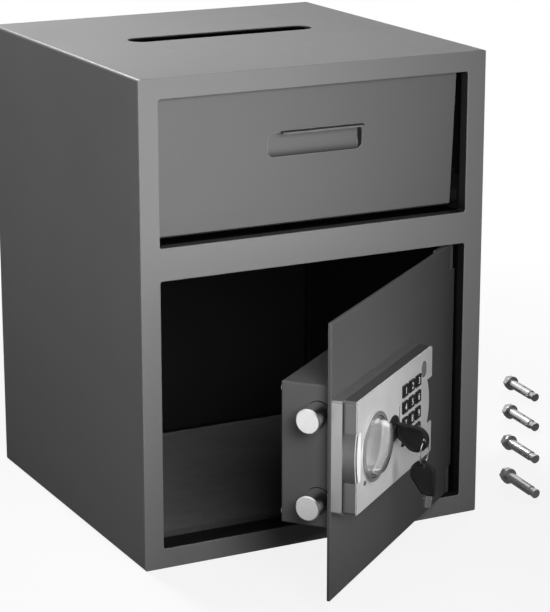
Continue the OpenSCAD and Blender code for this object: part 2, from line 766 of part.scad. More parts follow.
// lead from the circuit board through the door to the battery holder, then across to the solenoid
cable_r = 1.5;
cable_s = 150;
cable_z = -38;
cable_in = [[board_w, -20], [board_w - 4, -20], [board_w - 6.5, -23], [board_w - 7.5, -28], [board_w - 9, -35],
    [0, -38], [-8, -38], [-15, -37], [-21, -32], [-24, -28.5], [cell_w + cell_r + 1.75, -28]];
cable_across = [[coil_s + coil_r + run_gap, 0], [coil_s + coil_r + 4, 0], [coil_s + coil_r + 10, -3],
    [coil_s + 30, -5], [cell_s - cells_w / 2 - 12, -3], [cell_s - cells_w / 2 - 4, 0], [cell_s - cells_w / 2, 0]];
function bend(p, t) = let (n = len(p) - 1, i = min(floor(t), n - 1), f = t - i,
    a = p[max(i - 1, 0)], b = p[i], c = p[i + 1], d = p[min(i + 2, n)])
    0.5 * (2 * b + (c - a) * f + (2 * a - 5 * b + 4 * c - d) * f * f + (3 * b - a - 3 * c + d) * f * f * f);
module flat_tube(p, r, steps = 3) {
    sides = 8;
    n = (len(p) - 1) * steps;
    mids = [for (k = [0:n]) bend(p, k / steps)];
    rings = [for (k = [0:n]) let (d = mids[min(k + 1, n)] - mids[max(k - 1, 0)], u = d / norm(d))
        for (j = [0:sides - 1]) let (a = 360 * j / sides)
        [mids[k][0] - u[1] * r * cos(a), r * sin(a), mids[k][1] + u[0] * r * cos(a)]];
    walls = [for (k = [0:n - 1], j = [0:sides - 1]) let (a = k * sides + j, b = k * sides + (j + 1) % sides)
        each [[a, b, a + sides], [b, b + sides, a + sides]]];
    first = [for (j = [1:sides - 2]) [0, j + 1, j]];
    tip = n * sides;
    last = [for (j = [1:sides - 2]) [tip, tip + j, tip + j + 1]];
    polyhedron(rings, concat(walls, first, last));
}
module lock_cable() color("black") on_lock() {
    translate([cable_s, 0, 0]) rotate([0, 0, -90]) flat_tube(cable_in, cable_r);
    translate([0, -cell_w, cell_z]) flat_tube(cable_across, cable_r);
}

// lock panel on the front of the door
panel_mid = panel_s + panel_w / 2;
module base_outline(g) translate([panel_mid, 0]) mid_box(panel_w - 2 * g, panel_h - 2 * g, 2.5 - g);
module face_outline(g) {
    left = panel_s + face_in;
    right = panel_s + panel_w;
    bulge = 22;
    bulge_r = (pow(bulge, 2) + pow(face_in, 2)) / (2 * face_in);
    notch_in = 12;
    notch_low = -20.5;
    notch_high = 21;
    notch = (notch_high - notch_low) / 2;
    notch_mid = (notch_high + notch_low) / 2;
    crest = 5.4;
    crest_r = (pow(notch, 2) + pow(crest, 2)) / (2 * crest);
    difference() {
        translate([left + g, -panel_h / 2 + g]) round_box(right - left - 2 * g, panel_h - 2 * g, 2.5 - g);
        translate([right - notch_in - g, notch_low - g]) square([notch_in + 2 * g, 2 * (notch + g)]);
    }
    intersection() {
        disc(bulge_r - g, panel_s + bulge_r, 0);
        translate([panel_s, -bulge + g]) square([60, 2 * (bulge - g)]);
    }
    intersection() {
        disc(crest_r - g, right - notch_in + crest - crest_r, notch_mid);
        translate([right - 50, notch_mid - notch + g]) square([50, 2 * (notch - g)]);
    }
}

module lock_base() color("silver") on_lock() difference() {
    union() {
        difference() {
            out(0, base_h) base_outline(0);
            out(2, base_h + past) base_outline(panel_wall);
        }
        out(1, board_w) for (s = [-1, 1], z = [-1, 1]) disc(3, pad_s + s * peg[0], pad_z + z * peg[1]);
        out(1, base_h) difference() {
            disc(cylinder_r + 3, cylinder_s, cylinder_z);
            disc(cylinder_r + run_gap, cylinder_s, cylinder_z);
        }
    }
    out(-past, 3) {
        disc(spindle_r + 3, spindle_s, spindle_z);
        disc(cylinder_r + run_gap, cylinder_s, cylinder_z);
        disc(4, cable_s, cable_z);
    }
}

module button_places() for (i = [0:2], j = [0:3])
    translate([pad_s + (i - 1) * button_dx, pad_z + (1.5 - j) * button_dz]) children();
module lock_face() color("gainsboro") on_lock() {
    difference() {
        union() {
            out(base_h, face_w - 0.8) face_outline(0);
            out(face_w - 1, face_w) face_outline(0.8);
            out(face_w - 1, face_w + 1) intersection() {
                difference() {
                    face_outline(0.8);
                    translate([4, 0]) face_outline(0);
                }
                translate([panel_s, -21]) square([10, 42]);
            }
        }
        out(base_h - past, face_w - face_t) face_outline(2);
        out(0, face_w + 2) {
            disc(knob_r + 0.6, spindle_s, spindle_z);
            disc(cylinder_r + run_gap, cylinder_s, cylinder_z);
            button_places() mid_box(button_w + 0.5, button_h + 0.5, 1.2);
            translate([window_s, window_z]) mid_box(window[0], window[1], 5.8);
            disc(1.3, face_screw[0], face_screw[1]);
        }
        out(face_w - 1, face_w + 1) translate([groove_s, 9]) mid_box(2.5, 17, 1.2);
    }
    for (j = [-1:1]) out(face_w - 0.5, face_w + 0.7) translate([pad_s, pad_z + j * button_dz])
        mid_box(3 * button_dx - 4, 1.4, 0.6);
}

module knob_bezel() color("gainsboro") on_lock() translate([spindle_s, -face_w, spindle_z]) rotate([90, 0, 0])
    rotate_extrude() {
        translate([knob_r + 0.6, 0]) square([bezel_r - knob_r - 1.6, 2.4]);
        translate([knob_r + 0.6, 0]) square([bezel_r - knob_r - 0.6, 1.4]);
        disc(1, bezel_r - 1, 1.4);
    }

module indicator_window() color("#555555") on_lock() translate([window_s, 0, window_z]) {
    fit = 0.4;
    rim = 3;
    out(face_w - face_t - 1.5, face_w - face_t) mid_box(window[0] + rim, window[1] + rim, 6);
    out(face_w - face_t - 1, face_w + 0.3) mid_box(window[0] - fit, window[1] - fit, 5.6);
}

button_back = face_w - face_t - seat_gap;
button_flange = 1.2;
module circuit_board() color("darkgreen") on_lock() {
    switch_w = board_w + board[2] - 0.1;
    out(board_w, board_w + board[2]) translate([pad_s, pad_z]) mid_box(board[0], board[1], 1);
    for (i = [-1:1], j = [-1.5:1.5]) translate([pad_s + i * button_dx, 0, pad_z + j * button_dz])
        out(switch_w, button_back - button_flange - button_travel - seat_gap) mid_box(6, 6, 0.5);
}

// keypad
button_names = ["button_1", "button_2", "button_3", "button_4", "button_5", "button_6",
    "button_7", "button_8", "button_9", "button_star", "button_0", "button_hash"];
module button(k) color("#1c1c1e") on_lock()
    translate([pad_s + (k % 3 - 1) * button_dx, 0, pad_z + (1.5 - floor(k / 3)) * button_dz]) {
        out(button_back - button_flange, button_back) mid_box(button_w + 2, button_h + 1.6, 1.5);
        intersection() {
            translate([-button_w / 2, -face_w - 1.8, -button_h / 2]) soft_block(button_w, 10, button_h, 1);
            out(button_back - 0.5, face_w + 2) square([button_w + 2, button_h + 2], center = true);
        }
    }

// knob: a dish with a grip across it, on a hub
hub_r = 9;
module knob() color("gainsboro") on_lock() translate([spindle_s, -face_w, spindle_z]) rotate([90, 0, 0]) {
    rim = 2;
    bowl = 2.8;
    bowl_r = (pow(knob_r - 1.5, 2) + pow(bowl, 2)) / (2 * bowl);
    rotate_extrude() difference() {
        translate([0, -rim]) square([knob_r, 2 * rim]);
        disc(bowl_r, 0, rim - bowl + bowl_r);
    }
    translate([0, 0, 3.5 - face_w]) difference() {
        cylinder(h = face_w - 5, r = hub_r);
        translate([0, 0, -past]) cylinder(h = face_w, r = spindle_r);
    }
    rotate([0, 0, -grip_tilt]) intersection() {
        cylinder(h = grip_h, r = knob_r - 2.5);
        translate([-grip_w / 2, -knob_r, -1]) soft_block(grip_w, 2 * knob_r, grip_h + 1, 2.5);
        translate([-knob_r, 0, grip_h - 62]) rotate([0, 90, 0]) cylinder(h = 2 * knob_r, r = 62, $fn = 96);
    }
}

// emergency lock
module key_cylinder() color("#3a3a3c") on_lock() translate([cylinder_s, 0, cylinder_z]) difference() {
    union() {
        out(-door_t - cylinder_in, face_w + 0.5) circle(cylinder_r);
        out(face_w, face_w + 1.4) circle(cylinder_r + 3.8);
        out(-door_t - 4, -door_t) circle(cylinder_r + 3.5, $fn = 6);
    }
    out(-door_t - cylinder_in - past, face_w + 2) circle(plug_r + run_gap);
}
module key_plug() color("silver") on_lock() translate([cylinder_s, 0, cylinder_z]) {
    tail = -door_t - cylinder_in - seat_gap;
    cam = [7, 11];
    difference() {
        out(tail - 1, face_w + 0.4) circle(plug_r);
        out(face_w - key_in - 0.5, face_w + 1) difference() {
            circle(key_r + 0.35);
            circle(key_r - 1.25);
        }
    }
    out(tail - 2, tail) {
        circle(plug_r + 1);
        translate([-cam[0] / 2, 0]) square(cam);
    }
}

// tubular key: the barrel along +X from its tip, the bow beyond it and drooping towards -Z
module key_bow() difference() {
    union() {
        along_y(-bow_t / 2, bow_t / 2) translate([bow_neck, -bow_drop]) circle(bow_r);
        along_y(-bow_t / 2, bow_t / 2) polygon([[0, -6], [0, 6], [bow_neck + 1, bow_r - bow_drop - 0.3],
            [bow_neck + 3, -bow_drop], [bow_neck - bow_r * 0.76, -bow_drop - bow_r * 0.6]]);
    }
    translate([bow_neck + eye_in, bow_t, -bow_drop]) rotate([90, 0, 0]) cylinder(h = 2 * bow_t, r = eye_r);
}
module key_barrel() rotate([0, -90, 0]) difference() {
    cylinder(h = key_in + key_out, r = key_r);
    translate([0, 0, key_out - 1]) cylinder(h = key_in + 1 + past, r = key_r - 0.9);
}
module key_in_lock() on_lock() translate([key_s, -bow_w, cylinder_z]) rotate([0, 0, -90]) children();
module key_on_ring() on_lock() translate([key_s, -eye_w, spare_eye]) rotate([spare_tilt, 0, 0])
    rotate([0, -90, 90]) translate([-bow_neck - eye_in, 0, bow_drop]) children();

module emergency_bow() color("#141414") key_in_lock() key_bow();
module emergency_barrel() color("silver") key_in_lock() key_barrel();
module spare_bow() color("#141414") key_on_ring() key_bow();
module spare_barrel() color("silver") key_on_ring() key_barrel();
module key_ring() color("silver") on_lock() translate([key_s, -eye_w, ring_top - ring_r]) rotate([90, 0, 0])
    rotate_extrude($fn = 72) translate([ring_r, 0]) circle(wire_r, $fn = 20);

cabinet_shell();
back_panel();
front_frame();
divider_shelf();
slot_baffle();
strike_channel();
hinge_lugs();
hinge_pins();
hinge_washers();
hopper_brackets();
hopper_bushes();
hopper_bumpers();
floor_mat();
anchor_studs();
anchor_sleeves();
anchor_nuts();
hopper_flap();
hopper_cheeks();
hopper_tray();
hopper_pivots();
door_panel();
door_knuckles();
lock_box();
lock_screws();
bolt_guide();
spindle_bush();
lock_base();
lock_face();
knob_bezel();
indicator_window();
key_cylinder();
circuit_board();
solenoid();
battery_holder();
batteries();
battery_cover();
lock_cable();
lock_bolts();
bolt_bar();
knob();
cam_spindle();
plunger();
for (k = [0:11]) button(k);
key_plug();
emergency_bow();
emergency_barrel();
key_ring();
spare_bow();
spare_barrel();
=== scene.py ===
import json
import math

import bmesh
import bpy
from mathutils import Matrix, Vector, noise

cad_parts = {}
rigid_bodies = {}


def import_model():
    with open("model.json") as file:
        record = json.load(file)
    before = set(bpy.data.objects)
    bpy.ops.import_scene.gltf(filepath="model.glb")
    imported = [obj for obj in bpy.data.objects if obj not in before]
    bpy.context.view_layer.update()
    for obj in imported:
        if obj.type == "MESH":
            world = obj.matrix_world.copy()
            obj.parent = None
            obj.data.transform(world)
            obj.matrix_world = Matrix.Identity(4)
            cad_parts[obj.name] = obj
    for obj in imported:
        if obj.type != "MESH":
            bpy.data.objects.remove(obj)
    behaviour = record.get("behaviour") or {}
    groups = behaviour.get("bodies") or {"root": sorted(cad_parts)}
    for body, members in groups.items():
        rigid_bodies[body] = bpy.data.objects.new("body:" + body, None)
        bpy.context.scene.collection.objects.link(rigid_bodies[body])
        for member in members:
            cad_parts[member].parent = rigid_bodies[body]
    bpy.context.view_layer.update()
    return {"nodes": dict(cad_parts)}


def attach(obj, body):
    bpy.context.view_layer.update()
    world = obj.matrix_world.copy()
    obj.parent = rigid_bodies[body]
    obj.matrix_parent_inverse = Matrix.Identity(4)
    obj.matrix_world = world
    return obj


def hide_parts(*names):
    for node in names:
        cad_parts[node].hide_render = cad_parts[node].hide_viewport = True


for leftover in list(bpy.data.objects):
    bpy.data.objects.remove(leftover)
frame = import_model()
cadNodes = frame["nodes"]
mm = 0.001
weldDistance = 1e-7
print("frame loaded:", len(cadNodes), "nodes")

# places in millimetres, the opening in degrees; s runs along the door from its free edge to the hinge
door = {"hingeX": 147, "hingeY": -160, "openAngle": 39.3, "hingeS": 301.5, "hingeBack": 5, "lockZ": 150.5,
        "panelFace": 22}


def move(x, y, z):
    return Matrix.Translation((x * mm, y * mm, z * mm))


def turn(degrees, axis):
    return Matrix.Rotation(math.radians(degrees), 4, axis)


# on the door: x along s, y into the cabinet, z upwards from the lock's centre
lockFrame = (
    move(door["hingeX"], door["hingeY"], door["lockZ"])
    @ turn(door["openAngle"], "Z") @ move(-door["hingeS"], -door["hingeBack"], 0)
)
# on the lock: x along s, y upwards, z out of the door
lockPlace = lockFrame @ turn(90, "X")
doorNormal = tuple(lockPlace.to_3x3() @ Vector((0, 0, 1)))


def placeObject(name, data):
    item = bpy.data.objects.new(name, data)
    bpy.context.scene.collection.objects.link(item)
    return item


def addPiece(name, mesh, body, material, place=None, replaced=()):
    piece = placeObject(name, mesh)
    if place is not None:
        mesh.transform(place)
    mesh.materials.clear()
    mesh.materials.append(material)
    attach(piece, body)
    if replaced:
        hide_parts(*replaced)
    return piece


# degrees, in each of these: the angle from which an edge is shaded sharp
def meshFrom(name, verts, faces, degrees=32):
    mesh = bpy.data.meshes.new(name)
    mesh.from_pydata(verts, [], faces)
    tidy = bmesh.new()
    tidy.from_mesh(mesh)
    bmesh.ops.remove_doubles(tidy, verts=tidy.verts, dist=weldDistance)
    bmesh.ops.recalc_face_normals(tidy, faces=tidy.faces)
    tidy.to_mesh(mesh)
    tidy.free()
    mesh.shade_smooth()
    mesh.set_sharp_from_angle(angle=math.radians(degrees))
    return mesh


def turnedMesh(name, profile, around=64, degrees=30):
    # profile: (radius, height) pairs in millimetres, turned round z
    verts, faces, rings = [], [], []
    for radius, height in profile:
        if radius == 0:
            rings.append([len(verts)])
            verts.append((0, 0, height * mm))
            continue
        rings.append(list(range(len(verts), len(verts) + around)))
        for i in range(around):
            a = 2 * math.pi * i / around
            verts.append((radius * mm * math.cos(a), radius * mm * math.sin(a), height * mm))
    for low, high in zip(rings, rings[1:]):
        for i in range(around):
            after = i + 1
            corner = [low[i % len(low)], low[after % len(low)], high[after % len(high)], high[i % len(high)]]
            faces.append([v for k, v in enumerate(corner) if v not in corner[:k]])
    return meshFrom(name, verts, faces, degrees)


def loftFaces(count, rings):
    # joins rings of count points each and closes both ends
    faces = []
    for ring in range(rings - 1):
        for i in range(count):
            a, b = ring * count + i, ring * count + (i + 1) % count
            faces.append([a, b, b + count, a + count])
    faces.append(list(range(count))[::-1])
    faces.append([(rings - 1) * count + i for i in range(count)])
    return faces


def plateMesh(name, outline, levels, degrees=35):
    # outline: anticlockwise points in millimetres; levels: (inset, height) pairs from back to front
    verts = []
    for inset, height in levels:
        for i, point in enumerate(outline):
            along = (Vector(outline[(i + 1) % len(outline)]) - Vector(outline[i - 1])).normalized()
            moved = Vector(point) + Vector((-along.y, along.x)) * inset
            verts.append((moved.x * mm, moved.y * mm, height * mm))
    return meshFrom(name, verts, loftFaces(len(outline), len(levels)), degrees)


def hullOutline(points):
    # the line round the outermost points, anticlockwise
    points = sorted(set(points))

    def half(run):
        line = []
        for p in run:
            while len(line) > 1 and (
                (line[-1][0] - line[-2][0]) * (p[1] - line[-2][1])
                - (line[-1][1] - line[-2][1]) * (p[0] - line[-2][0])
            ) <= 0:
                line.pop()
            line.append(p)
        return line[:-1]

    return half(points) + half(points[::-1])


def evenOutline(outline, count):
    # the same closed line with its points evenly apart
    lengths = [(Vector(outline[i]) - Vector(outline[i - 1])).length for i in range(len(outline))]
    total, result = sum(lengths), []
    for k in range(count):
        want, i = total * k / count, 0
        while want > lengths[(i + 1) % len(outline)]:
            want -= lengths[(i + 1) % len(outline)]
            i += 1
        start, end = Vector(outline[i % len(outline)]), Vector(outline[(i + 1) % len(outline)])
        point = start + (end - start) * (want / max(lengths[(i + 1) % len(outline)], 1e-9))
        result.append((point.x, point.y))
    return result


def meshOf(item):
    bpy.context.view_layer.update()
    return bpy.data.meshes.new_from_object(item.evaluated_get(bpy.context.evaluated_depsgraph_get()))


def cutWith(mesh, cutter, degrees=35):
    # takes the cutter's volume out of the mesh
    shape, tool = placeObject("cutShape", mesh), placeObject("cutTool", cutter)
    cut = shape.modifiers.new("cut", "BOOLEAN")
    cut.operation, cut.object, cut.solver = "DIFFERENCE", tool, "EXACT"
    made = meshOf(shape)
    for item in (shape, tool):
        bpy.data.objects.remove(item)
    made.shade_smooth()
    made.set_sharp_from_angle(angle=math.radians(degrees))
    return made


def joinMeshes(name, meshes):
    joined = bmesh.new()
    for part in meshes:
        joined.from_mesh(part)
    whole = bpy.data.meshes.new(name)
    joined.to_mesh(whole)
    joined.free()
    return whole


def newGroup(name, inputs, outputs):
    tree = bpy.data.node_groups.new(name, "ShaderNodeTree")
    for label, kind, value in inputs:
        socket = tree.interface.new_socket(name=label, in_out="INPUT", socket_type="NodeSocket" + kind)
        socket.default_value = value
    for label, kind in outputs:
        tree.interface.new_socket(name=label, in_out="OUTPUT", socket_type="NodeSocket" + kind)
    return tree, tree.nodes.new("NodeGroupInput"), tree.nodes.new("NodeGroupOutput")


def addNode(tree, kind, values=None, **settings):
    node = tree.nodes.new("ShaderNode" + kind)
    for key, value in settings.items():
        setattr(node, key, value)
    for key, value in (values or {}).items():
        node.inputs[key].default_value = value
    return node


def restPlace(tree):
    # where a point lies with every joint at rest, in metres
    return addNode(tree, "TexCoord").outputs["Object"]


def addNoise(tree, place, scale, detail, roughness):
    made = addNode(tree, "TexNoise", {"Detail": detail, "Roughness": roughness})
    tree.links.new(place, made.inputs["Vector"])
    if isinstance(scale, (int, float)):
        made.inputs["Scale"].default_value = scale
    else:
        tree.links.new(scale, made.inputs["Scale"])
    return made.outputs["Fac"]


def addRamp(tree, value, low, high, toLow=0.0, toHigh=1.0):
    ramp = addNode(tree, "MapRange", {"From Min": low, "From Max": high, "To Min": toLow, "To Max": toHigh})
    tree.links.new(value, ramp.inputs["Value"])
    return ramp.outputs["Result"]


def addMath(tree, operation, first, second=None):
    made = addNode(tree, "Math", operation=operation)
    for socket, value in zip(made.inputs, (first, second)):
        if isinstance(value, (int, float)):
            socket.default_value = value
        elif value is not None:
            tree.links.new(value, socket)
    return made.outputs[0]


def addVectorMath(tree, operation, first, second=None):
    made = addNode(tree, "VectorMath", operation=operation)
    for socket, value in zip(made.inputs, (first, second)):
        if value is not None:
            tree.links.new(value, socket)
    return made.outputs["Value" if operation in ("DOT_PRODUCT", "LENGTH") else "Vector"]


def addSplit(tree, vector):
    split = addNode(tree, "SeparateXYZ")
    tree.links.new(vector, split.inputs[0])
    return split.outputs


def addMix(tree, factor, first, second):
    made = addNode(tree, "Mix", data_type="RGBA")
    for socket, value in ((made.inputs[0], factor), (made.inputs[6], first), (made.inputs[7], second)):
        if isinstance(value, (int, float, tuple)):
            socket.default_value = value
        else:
            tree.links.new(value, socket)
    return made.outputs[2]


def addSpread(tree, value, start, end):
    # a noise spread out between the group's Low and High gives the roughness
    spread = addNode(tree, "MapRange", {"From Min": 0.3, "From Max": 0.7})
    tree.links.new(value, spread.inputs["Value"])
    tree.links.new(start.outputs["Low"], spread.inputs["To Min"])
    tree.links.new(start.outputs["High"], spread.inputs["To Max"])
    tree.links.new(spread.outputs["Result"], end.inputs["Roughness"])


# in the effects' settings a noise is (detail, roughness), after its scale where that is fixed
edge = {"samples": 4, "sharpToFlat": (0.995, 0.80)}


def makeEdgeMask():
    # 1 on a convex or concave edge, fading over the given width
    tree, start, end = newGroup("edgeMask", [("Width", "Float", 0.001)], [("Mask", "Float")])
    bevel = addNode(tree, "Bevel", samples=edge["samples"])
    tree.links.new(start.outputs["Width"], bevel.inputs["Radius"])
    plainNormal = addNode(tree, "NewGeometry").outputs["Normal"]
    flatness = addVectorMath(tree, "DOT_PRODUCT", bevel.outputs["Normal"], plainNormal)
    tree.links.new(addRamp(tree, flatness, *edge["sharpToFlat"]), end.inputs["Mask"])
    return tree


coating = {"grain": (2.0, 0.6), "cloud": (4.0, 0.55), "speckSpan": (0.35, 0.65), "speckShare": 0.45,
           "cloudShare": 0.55, "sumSpan": (0.7, 1.3), "roughness": (0.40, 0.54)}


def makePowderGrain():
    # fine orange peel of a baked powder coat, with faint cloudiness
    tree, start, end = newGroup(
        "powderGrain",
        [("Base", "Color", (0.2, 0.2, 0.2, 1)), ("Deep", "Color", (0.15, 0.15, 0.15, 1)),
         ("Grain Scale", "Float", 1400.0), ("Cloud Scale", "Float", 9.0)],
        [("Color", "Color"), ("Height", "Float"), ("Roughness", "Float")],
    )
    place = restPlace(tree)
    grain = addNoise(tree, place, start.outputs["Grain Scale"], *coating["grain"])
    cloud = addNoise(tree, place, start.outputs["Cloud Scale"], *coating["cloud"])
    speck = addRamp(tree, grain, *coating["speckSpan"])
    tone = addMath(tree, "ADD", addMath(tree, "MULTIPLY", speck, coating["speckShare"]),
                   addMath(tree, "MULTIPLY", cloud, coating["cloudShare"]))
    tree.links.new(addMix(tree, tone, start.outputs["Deep"], start.outputs["Base"]), end.inputs["Color"])
    tree.links.new(grain, end.inputs["Height"])
    matte = addRamp(tree, addMath(tree, "ADD", cloud, grain), *coating["sumSpan"], *coating["roughness"])
    tree.links.new(matte, end.inputs["Roughness"])
    return tree


brushing = {"lines": (1.0, 4.0, 0.65), "smudge": (60.0, 3.0, 0.5), "smudgeShare": 0.6, "sumSpan": (0.55, 1.05)}


def makeBrushedLines():
    # fine scratches drawn along one axis, for rolled, plated or brushed metal
    tree, start, end = newGroup(
        "brushedLines",
        [("Base", "Color", (0.6, 0.6, 0.6, 1)), ("Deep", "Color", (0.4, 0.4, 0.4, 1)),
         ("Stretch", "Vector", (40.0, 900.0, 900.0)), ("Low", "Float", 0.2), ("High", "Float", 0.4)],
        [("Color", "Color"), ("Height", "Float"), ("Roughness", "Float")],
    )
    place = restPlace(tree)
    lines = addNoise(tree, addVectorMath(tree, "MULTIPLY", place, start.outputs["Stretch"]), *brushing["lines"])
    smudge = addNoise(tree, place, *brushing["smudge"])
    total = addMath(tree, "ADD", lines, addMath(tree, "MULTIPLY", smudge, brushing["smudgeShare"]))
    tone = addRamp(tree, total, *brushing["sumSpan"])
    tree.links.new(addMix(tree, tone, start.outputs["Deep"], start.outputs["Base"]), end.inputs["Color"])
    tree.links.new(lines, end.inputs["Height"])
    addSpread(tree, smudge, start, end)
    return tree


moulding = {"worn": (110.0, 4.0, 0.6), "wornSpan": (0.42, 0.75)}


def makeMouldedSkin():
    # the faint spark-eroded texture of moulded plastic and rubber
    tree, start, end = newGroup(
        "mouldedSkin",
        [("Base", "Color", (0.03, 0.03, 0.03, 1)), ("Dust", "Color", (0.06, 0.06, 0.06, 1)),
         ("Grain Scale", "Float", 2200.0), ("Low", "Float", 0.3), ("High", "Float", 0.45)],
        [("Color", "Color"), ("Height", "Float"), ("Roughness", "Float")],
    )
    place = restPlace(tree)
    grain = addNode(tree, "TexVoronoi", feature="SMOOTH_F1")
    tree.links.new(place, grain.inputs["Vector"])
    tree.links.new(start.outputs["Grain Scale"], grain.inputs["Scale"])
    worn = addNoise(tree, place, *moulding["worn"])
    dusty = addRamp(tree, worn, *moulding["wornSpan"])
    tree.links.new(addMix(tree, dusty, start.outputs["Base"], start.outputs["Dust"]), end.inputs["Color"])
    tree.links.new(grain.outputs["Distance"], end.inputs["Height"])
    addSpread(tree, worn, start, end)
    return tree


felting = {"drift": 0.012, "driftScale": 60.0, "driftDetail": 2.0, "fibres": (5.0, 0.75), "fibreShare": 0.7,
           "patches": (16.0, 4.0, 0.6), "patchShare": 0.5, "sumSpan": (0.45, 0.8)}


def makeFeltPile():
    # short matted fibres with flattened patches
    tree, start, end = newGroup(
        "feltPile",
        [("Base", "Color", (0.04, 0.04, 0.04, 1)), ("Fibre", "Color", (0.08, 0.08, 0.08, 1)),
         ("Fibre Scale", "Float", 420.0)],
        [("Color", "Color"), ("Height", "Float")],
    )
    place = restPlace(tree)
    drift = addNode(tree, "TexNoise", {"Scale": felting["driftScale"], "Detail": felting["driftDetail"]})
    tree.links.new(place, drift.inputs["Vector"])
    bent = addNode(tree, "VectorMath", {1: (felting["drift"],) * 3}, operation="MULTIPLY_ADD")
    tree.links.new(drift.outputs["Color"], bent.inputs[0])
    tree.links.new(place, bent.inputs[2])
    fibres = addNoise(tree, bent.outputs[0], start.outputs["Fibre Scale"], *felting["fibres"])
    patches = addNoise(tree, place, *felting["patches"])
    pile = addMath(tree, "ADD", addMath(tree, "MULTIPLY", fibres, felting["fibreShare"]),
                   addMath(tree, "MULTIPLY", patches, felting["patchShare"]))
    light = addRamp(tree, pile, *felting["sumSpan"])
    tree.links.new(addMix(tree, light, start.outputs["Base"], start.outputs["Fibre"]), end.inputs["Color"])
    tree.links.new(pile, end.inputs["Height"])
    return tree


def makeInsideMask():
    # 1 on the cabinet's inner faces, by how far they lie from its middle, in metres; there the coat is painted
    # dark as painted shade
    tree, start, end = newGroup(
        "insideMask",
        [("Half Width", "Float", 0.174), ("Half Depth", "Float", 0.174), ("Top", "Float", 0.4492)],
        [("Mask", "Float")],
    )
    place = addSplit(tree, restPlace(tree))
    across = addMath(tree, "LESS_THAN", addMath(tree, "ABSOLUTE", place["X"]), start.outputs["Half Width"])
    deep = addMath(tree, "LESS_THAN", addMath(tree, "ABSOLUTE", place["Y"]), start.outputs["Half Depth"])
    low = addMath(tree, "LESS_THAN", place["Z"], start.outputs["Top"])
    within = addMath(tree, "MULTIPLY", addMath(tree, "MULTIPLY", across, deep), low)
    tree.links.new(within, end.inputs["Mask"])
    return tree


front = {"wallToFront": (0.35, 0.85)}


def makeFrontMask():
    # 1 on faces turned along the given direction of the piece's own frame, 0 on its walls
    tree, start, end = newGroup("frontMask", [("Facing", "Vector", (0.0, -1.0, 0.0))], [("Mask", "Float")])
    normal = addNode(tree, "TexCoord").outputs["Normal"]
    turned = addVectorMath(tree, "DOT_PRODUCT", normal, start.outputs["Facing"])
    tree.links.new(addRamp(tree, turned, *front["wallToFront"]), end.inputs["Mask"])
    return tree


def makeBandMask():
    # 1 on a strip of the lock face, painted bright as a painted highlight: a stretch along the door, as high as
    # given
    tree, start, end = newGroup(
        "highlightBandMask",
        [("Origin", "Vector", (0.0, 0.0, 0.0)), ("Along", "Vector", (1.0, 0.0, 0.0)),
         ("Stretch", "Float", 0.0125), ("Half Height", "Float", 0.0215)],
        [("Mask", "Float")],
    )
    away = addVectorMath(tree, "SUBTRACT", restPlace(tree), start.outputs["Origin"])
    along = addVectorMath(tree, "DOT_PRODUCT", away, start.outputs["Along"])
    height = addMath(tree, "ABSOLUTE", addSplit(tree, away)["Z"])
    near = addMath(tree, "LESS_THAN", along, start.outputs["Stretch"])
    level = addMath(tree, "LESS_THAN", height, start.outputs["Half Height"])
    tree.links.new(addMath(tree, "MULTIPLY", near, level), end.inputs["Mask"])
    return tree


edgeMask = makeEdgeMask()
frontMask = makeFrontMask()
highlightBandMask = makeBandMask()
insideMask = makeInsideMask()
powderGrain = makePowderGrain()
brushedLines = makeBrushedLines()
mouldedSkin = makeMouldedSkin()
feltPile = makeFeltPile()
print("material effects built")

cool = (1.0, 0.985, 1.0)


def grey(level, tint=(1.0, 1.0, 1.0)):
    return tuple(level * t for t in tint)


def opaque(colour):
    return (*colour, 1)


def clearTree(owner):
    owner.use_nodes = True
    owner.node_tree.nodes.clear()
    return owner.node_tree


def newMaterial(name, shaderValues):
    material = bpy.data.materials.new(name)
    tree = clearTree(material)
    shader = addNode(tree, "BsdfPrincipled", shaderValues)
    tree.links.new(shader.outputs["BSDF"], addNode(tree, "OutputMaterial").inputs["Surface"])
    return material, tree, shader


def placeGroup(tree, group, values):
    node = tree.nodes.new("ShaderNodeGroup")
    node.node_tree = group
    for key, value in values.items():
        node.inputs[key].default_value = value
    return node.outputs


def addBump(tree, shader, height, strength, distance):
    # distance: in metres
    bump = addNode(tree, "Bump", {"Strength": strength, "Distance": distance})
    tree.links.new(height, bump.inputs["Height"])
    tree.links.new(bump.outputs["Normal"], shader.inputs["Normal"])


def addFinish(tree, shader, colour, finish, strength, distance):
    tree.links.new(colour, shader.inputs["Base Color"])
    tree.links.new(finish["Roughness"], shader.inputs["Roughness"])
    addBump(tree, shader, finish["Height"], strength, distance)


def powderMaterial(name, base, deep, edgeTone, edgeWidth=0.0012, specular=0.4, inner=None, facing=None):
    # tones are levels of cool grey; the inner tone is painted shade, inside the cabinet or on faces not turned
    # to facing; the edge tone lightens edges, for a thinner coat at the folds and as a painted highlight
    material, tree, shader = newMaterial(name, {"Specular IOR Level": specular})
    coat = placeGroup(tree, powderGrain, {"Base": opaque(grey(base, cool)), "Deep": opaque(grey(deep, cool))})
    # edges lightened: partly a thinner coat at the folds, partly a painted highlight on the rounded edges
    worn = placeGroup(tree, edgeMask, {"Width": edgeWidth})["Mask"]
    colour = addMix(tree, worn, coat["Color"], opaque(grey(edgeTone, cool)))
    if facing is not None:
        # faces not turned to facing, such as the pull's walls, painted darker: painted shade
        turned = placeGroup(tree, frontMask, {"Facing": facing})["Mask"]
        colour = addMix(tree, turned, opaque(grey(inner, cool)), colour)
    elif inner is not None:
        # the cabinet's inner faces painted near black: painted shade
        within = placeGroup(tree, insideMask, {})["Mask"]
        colour = addMix(tree, within, colour, opaque(grey(inner, cool)))
    addFinish(tree, shader, colour, coat, strength=0.35, distance=0.00012)
    return material


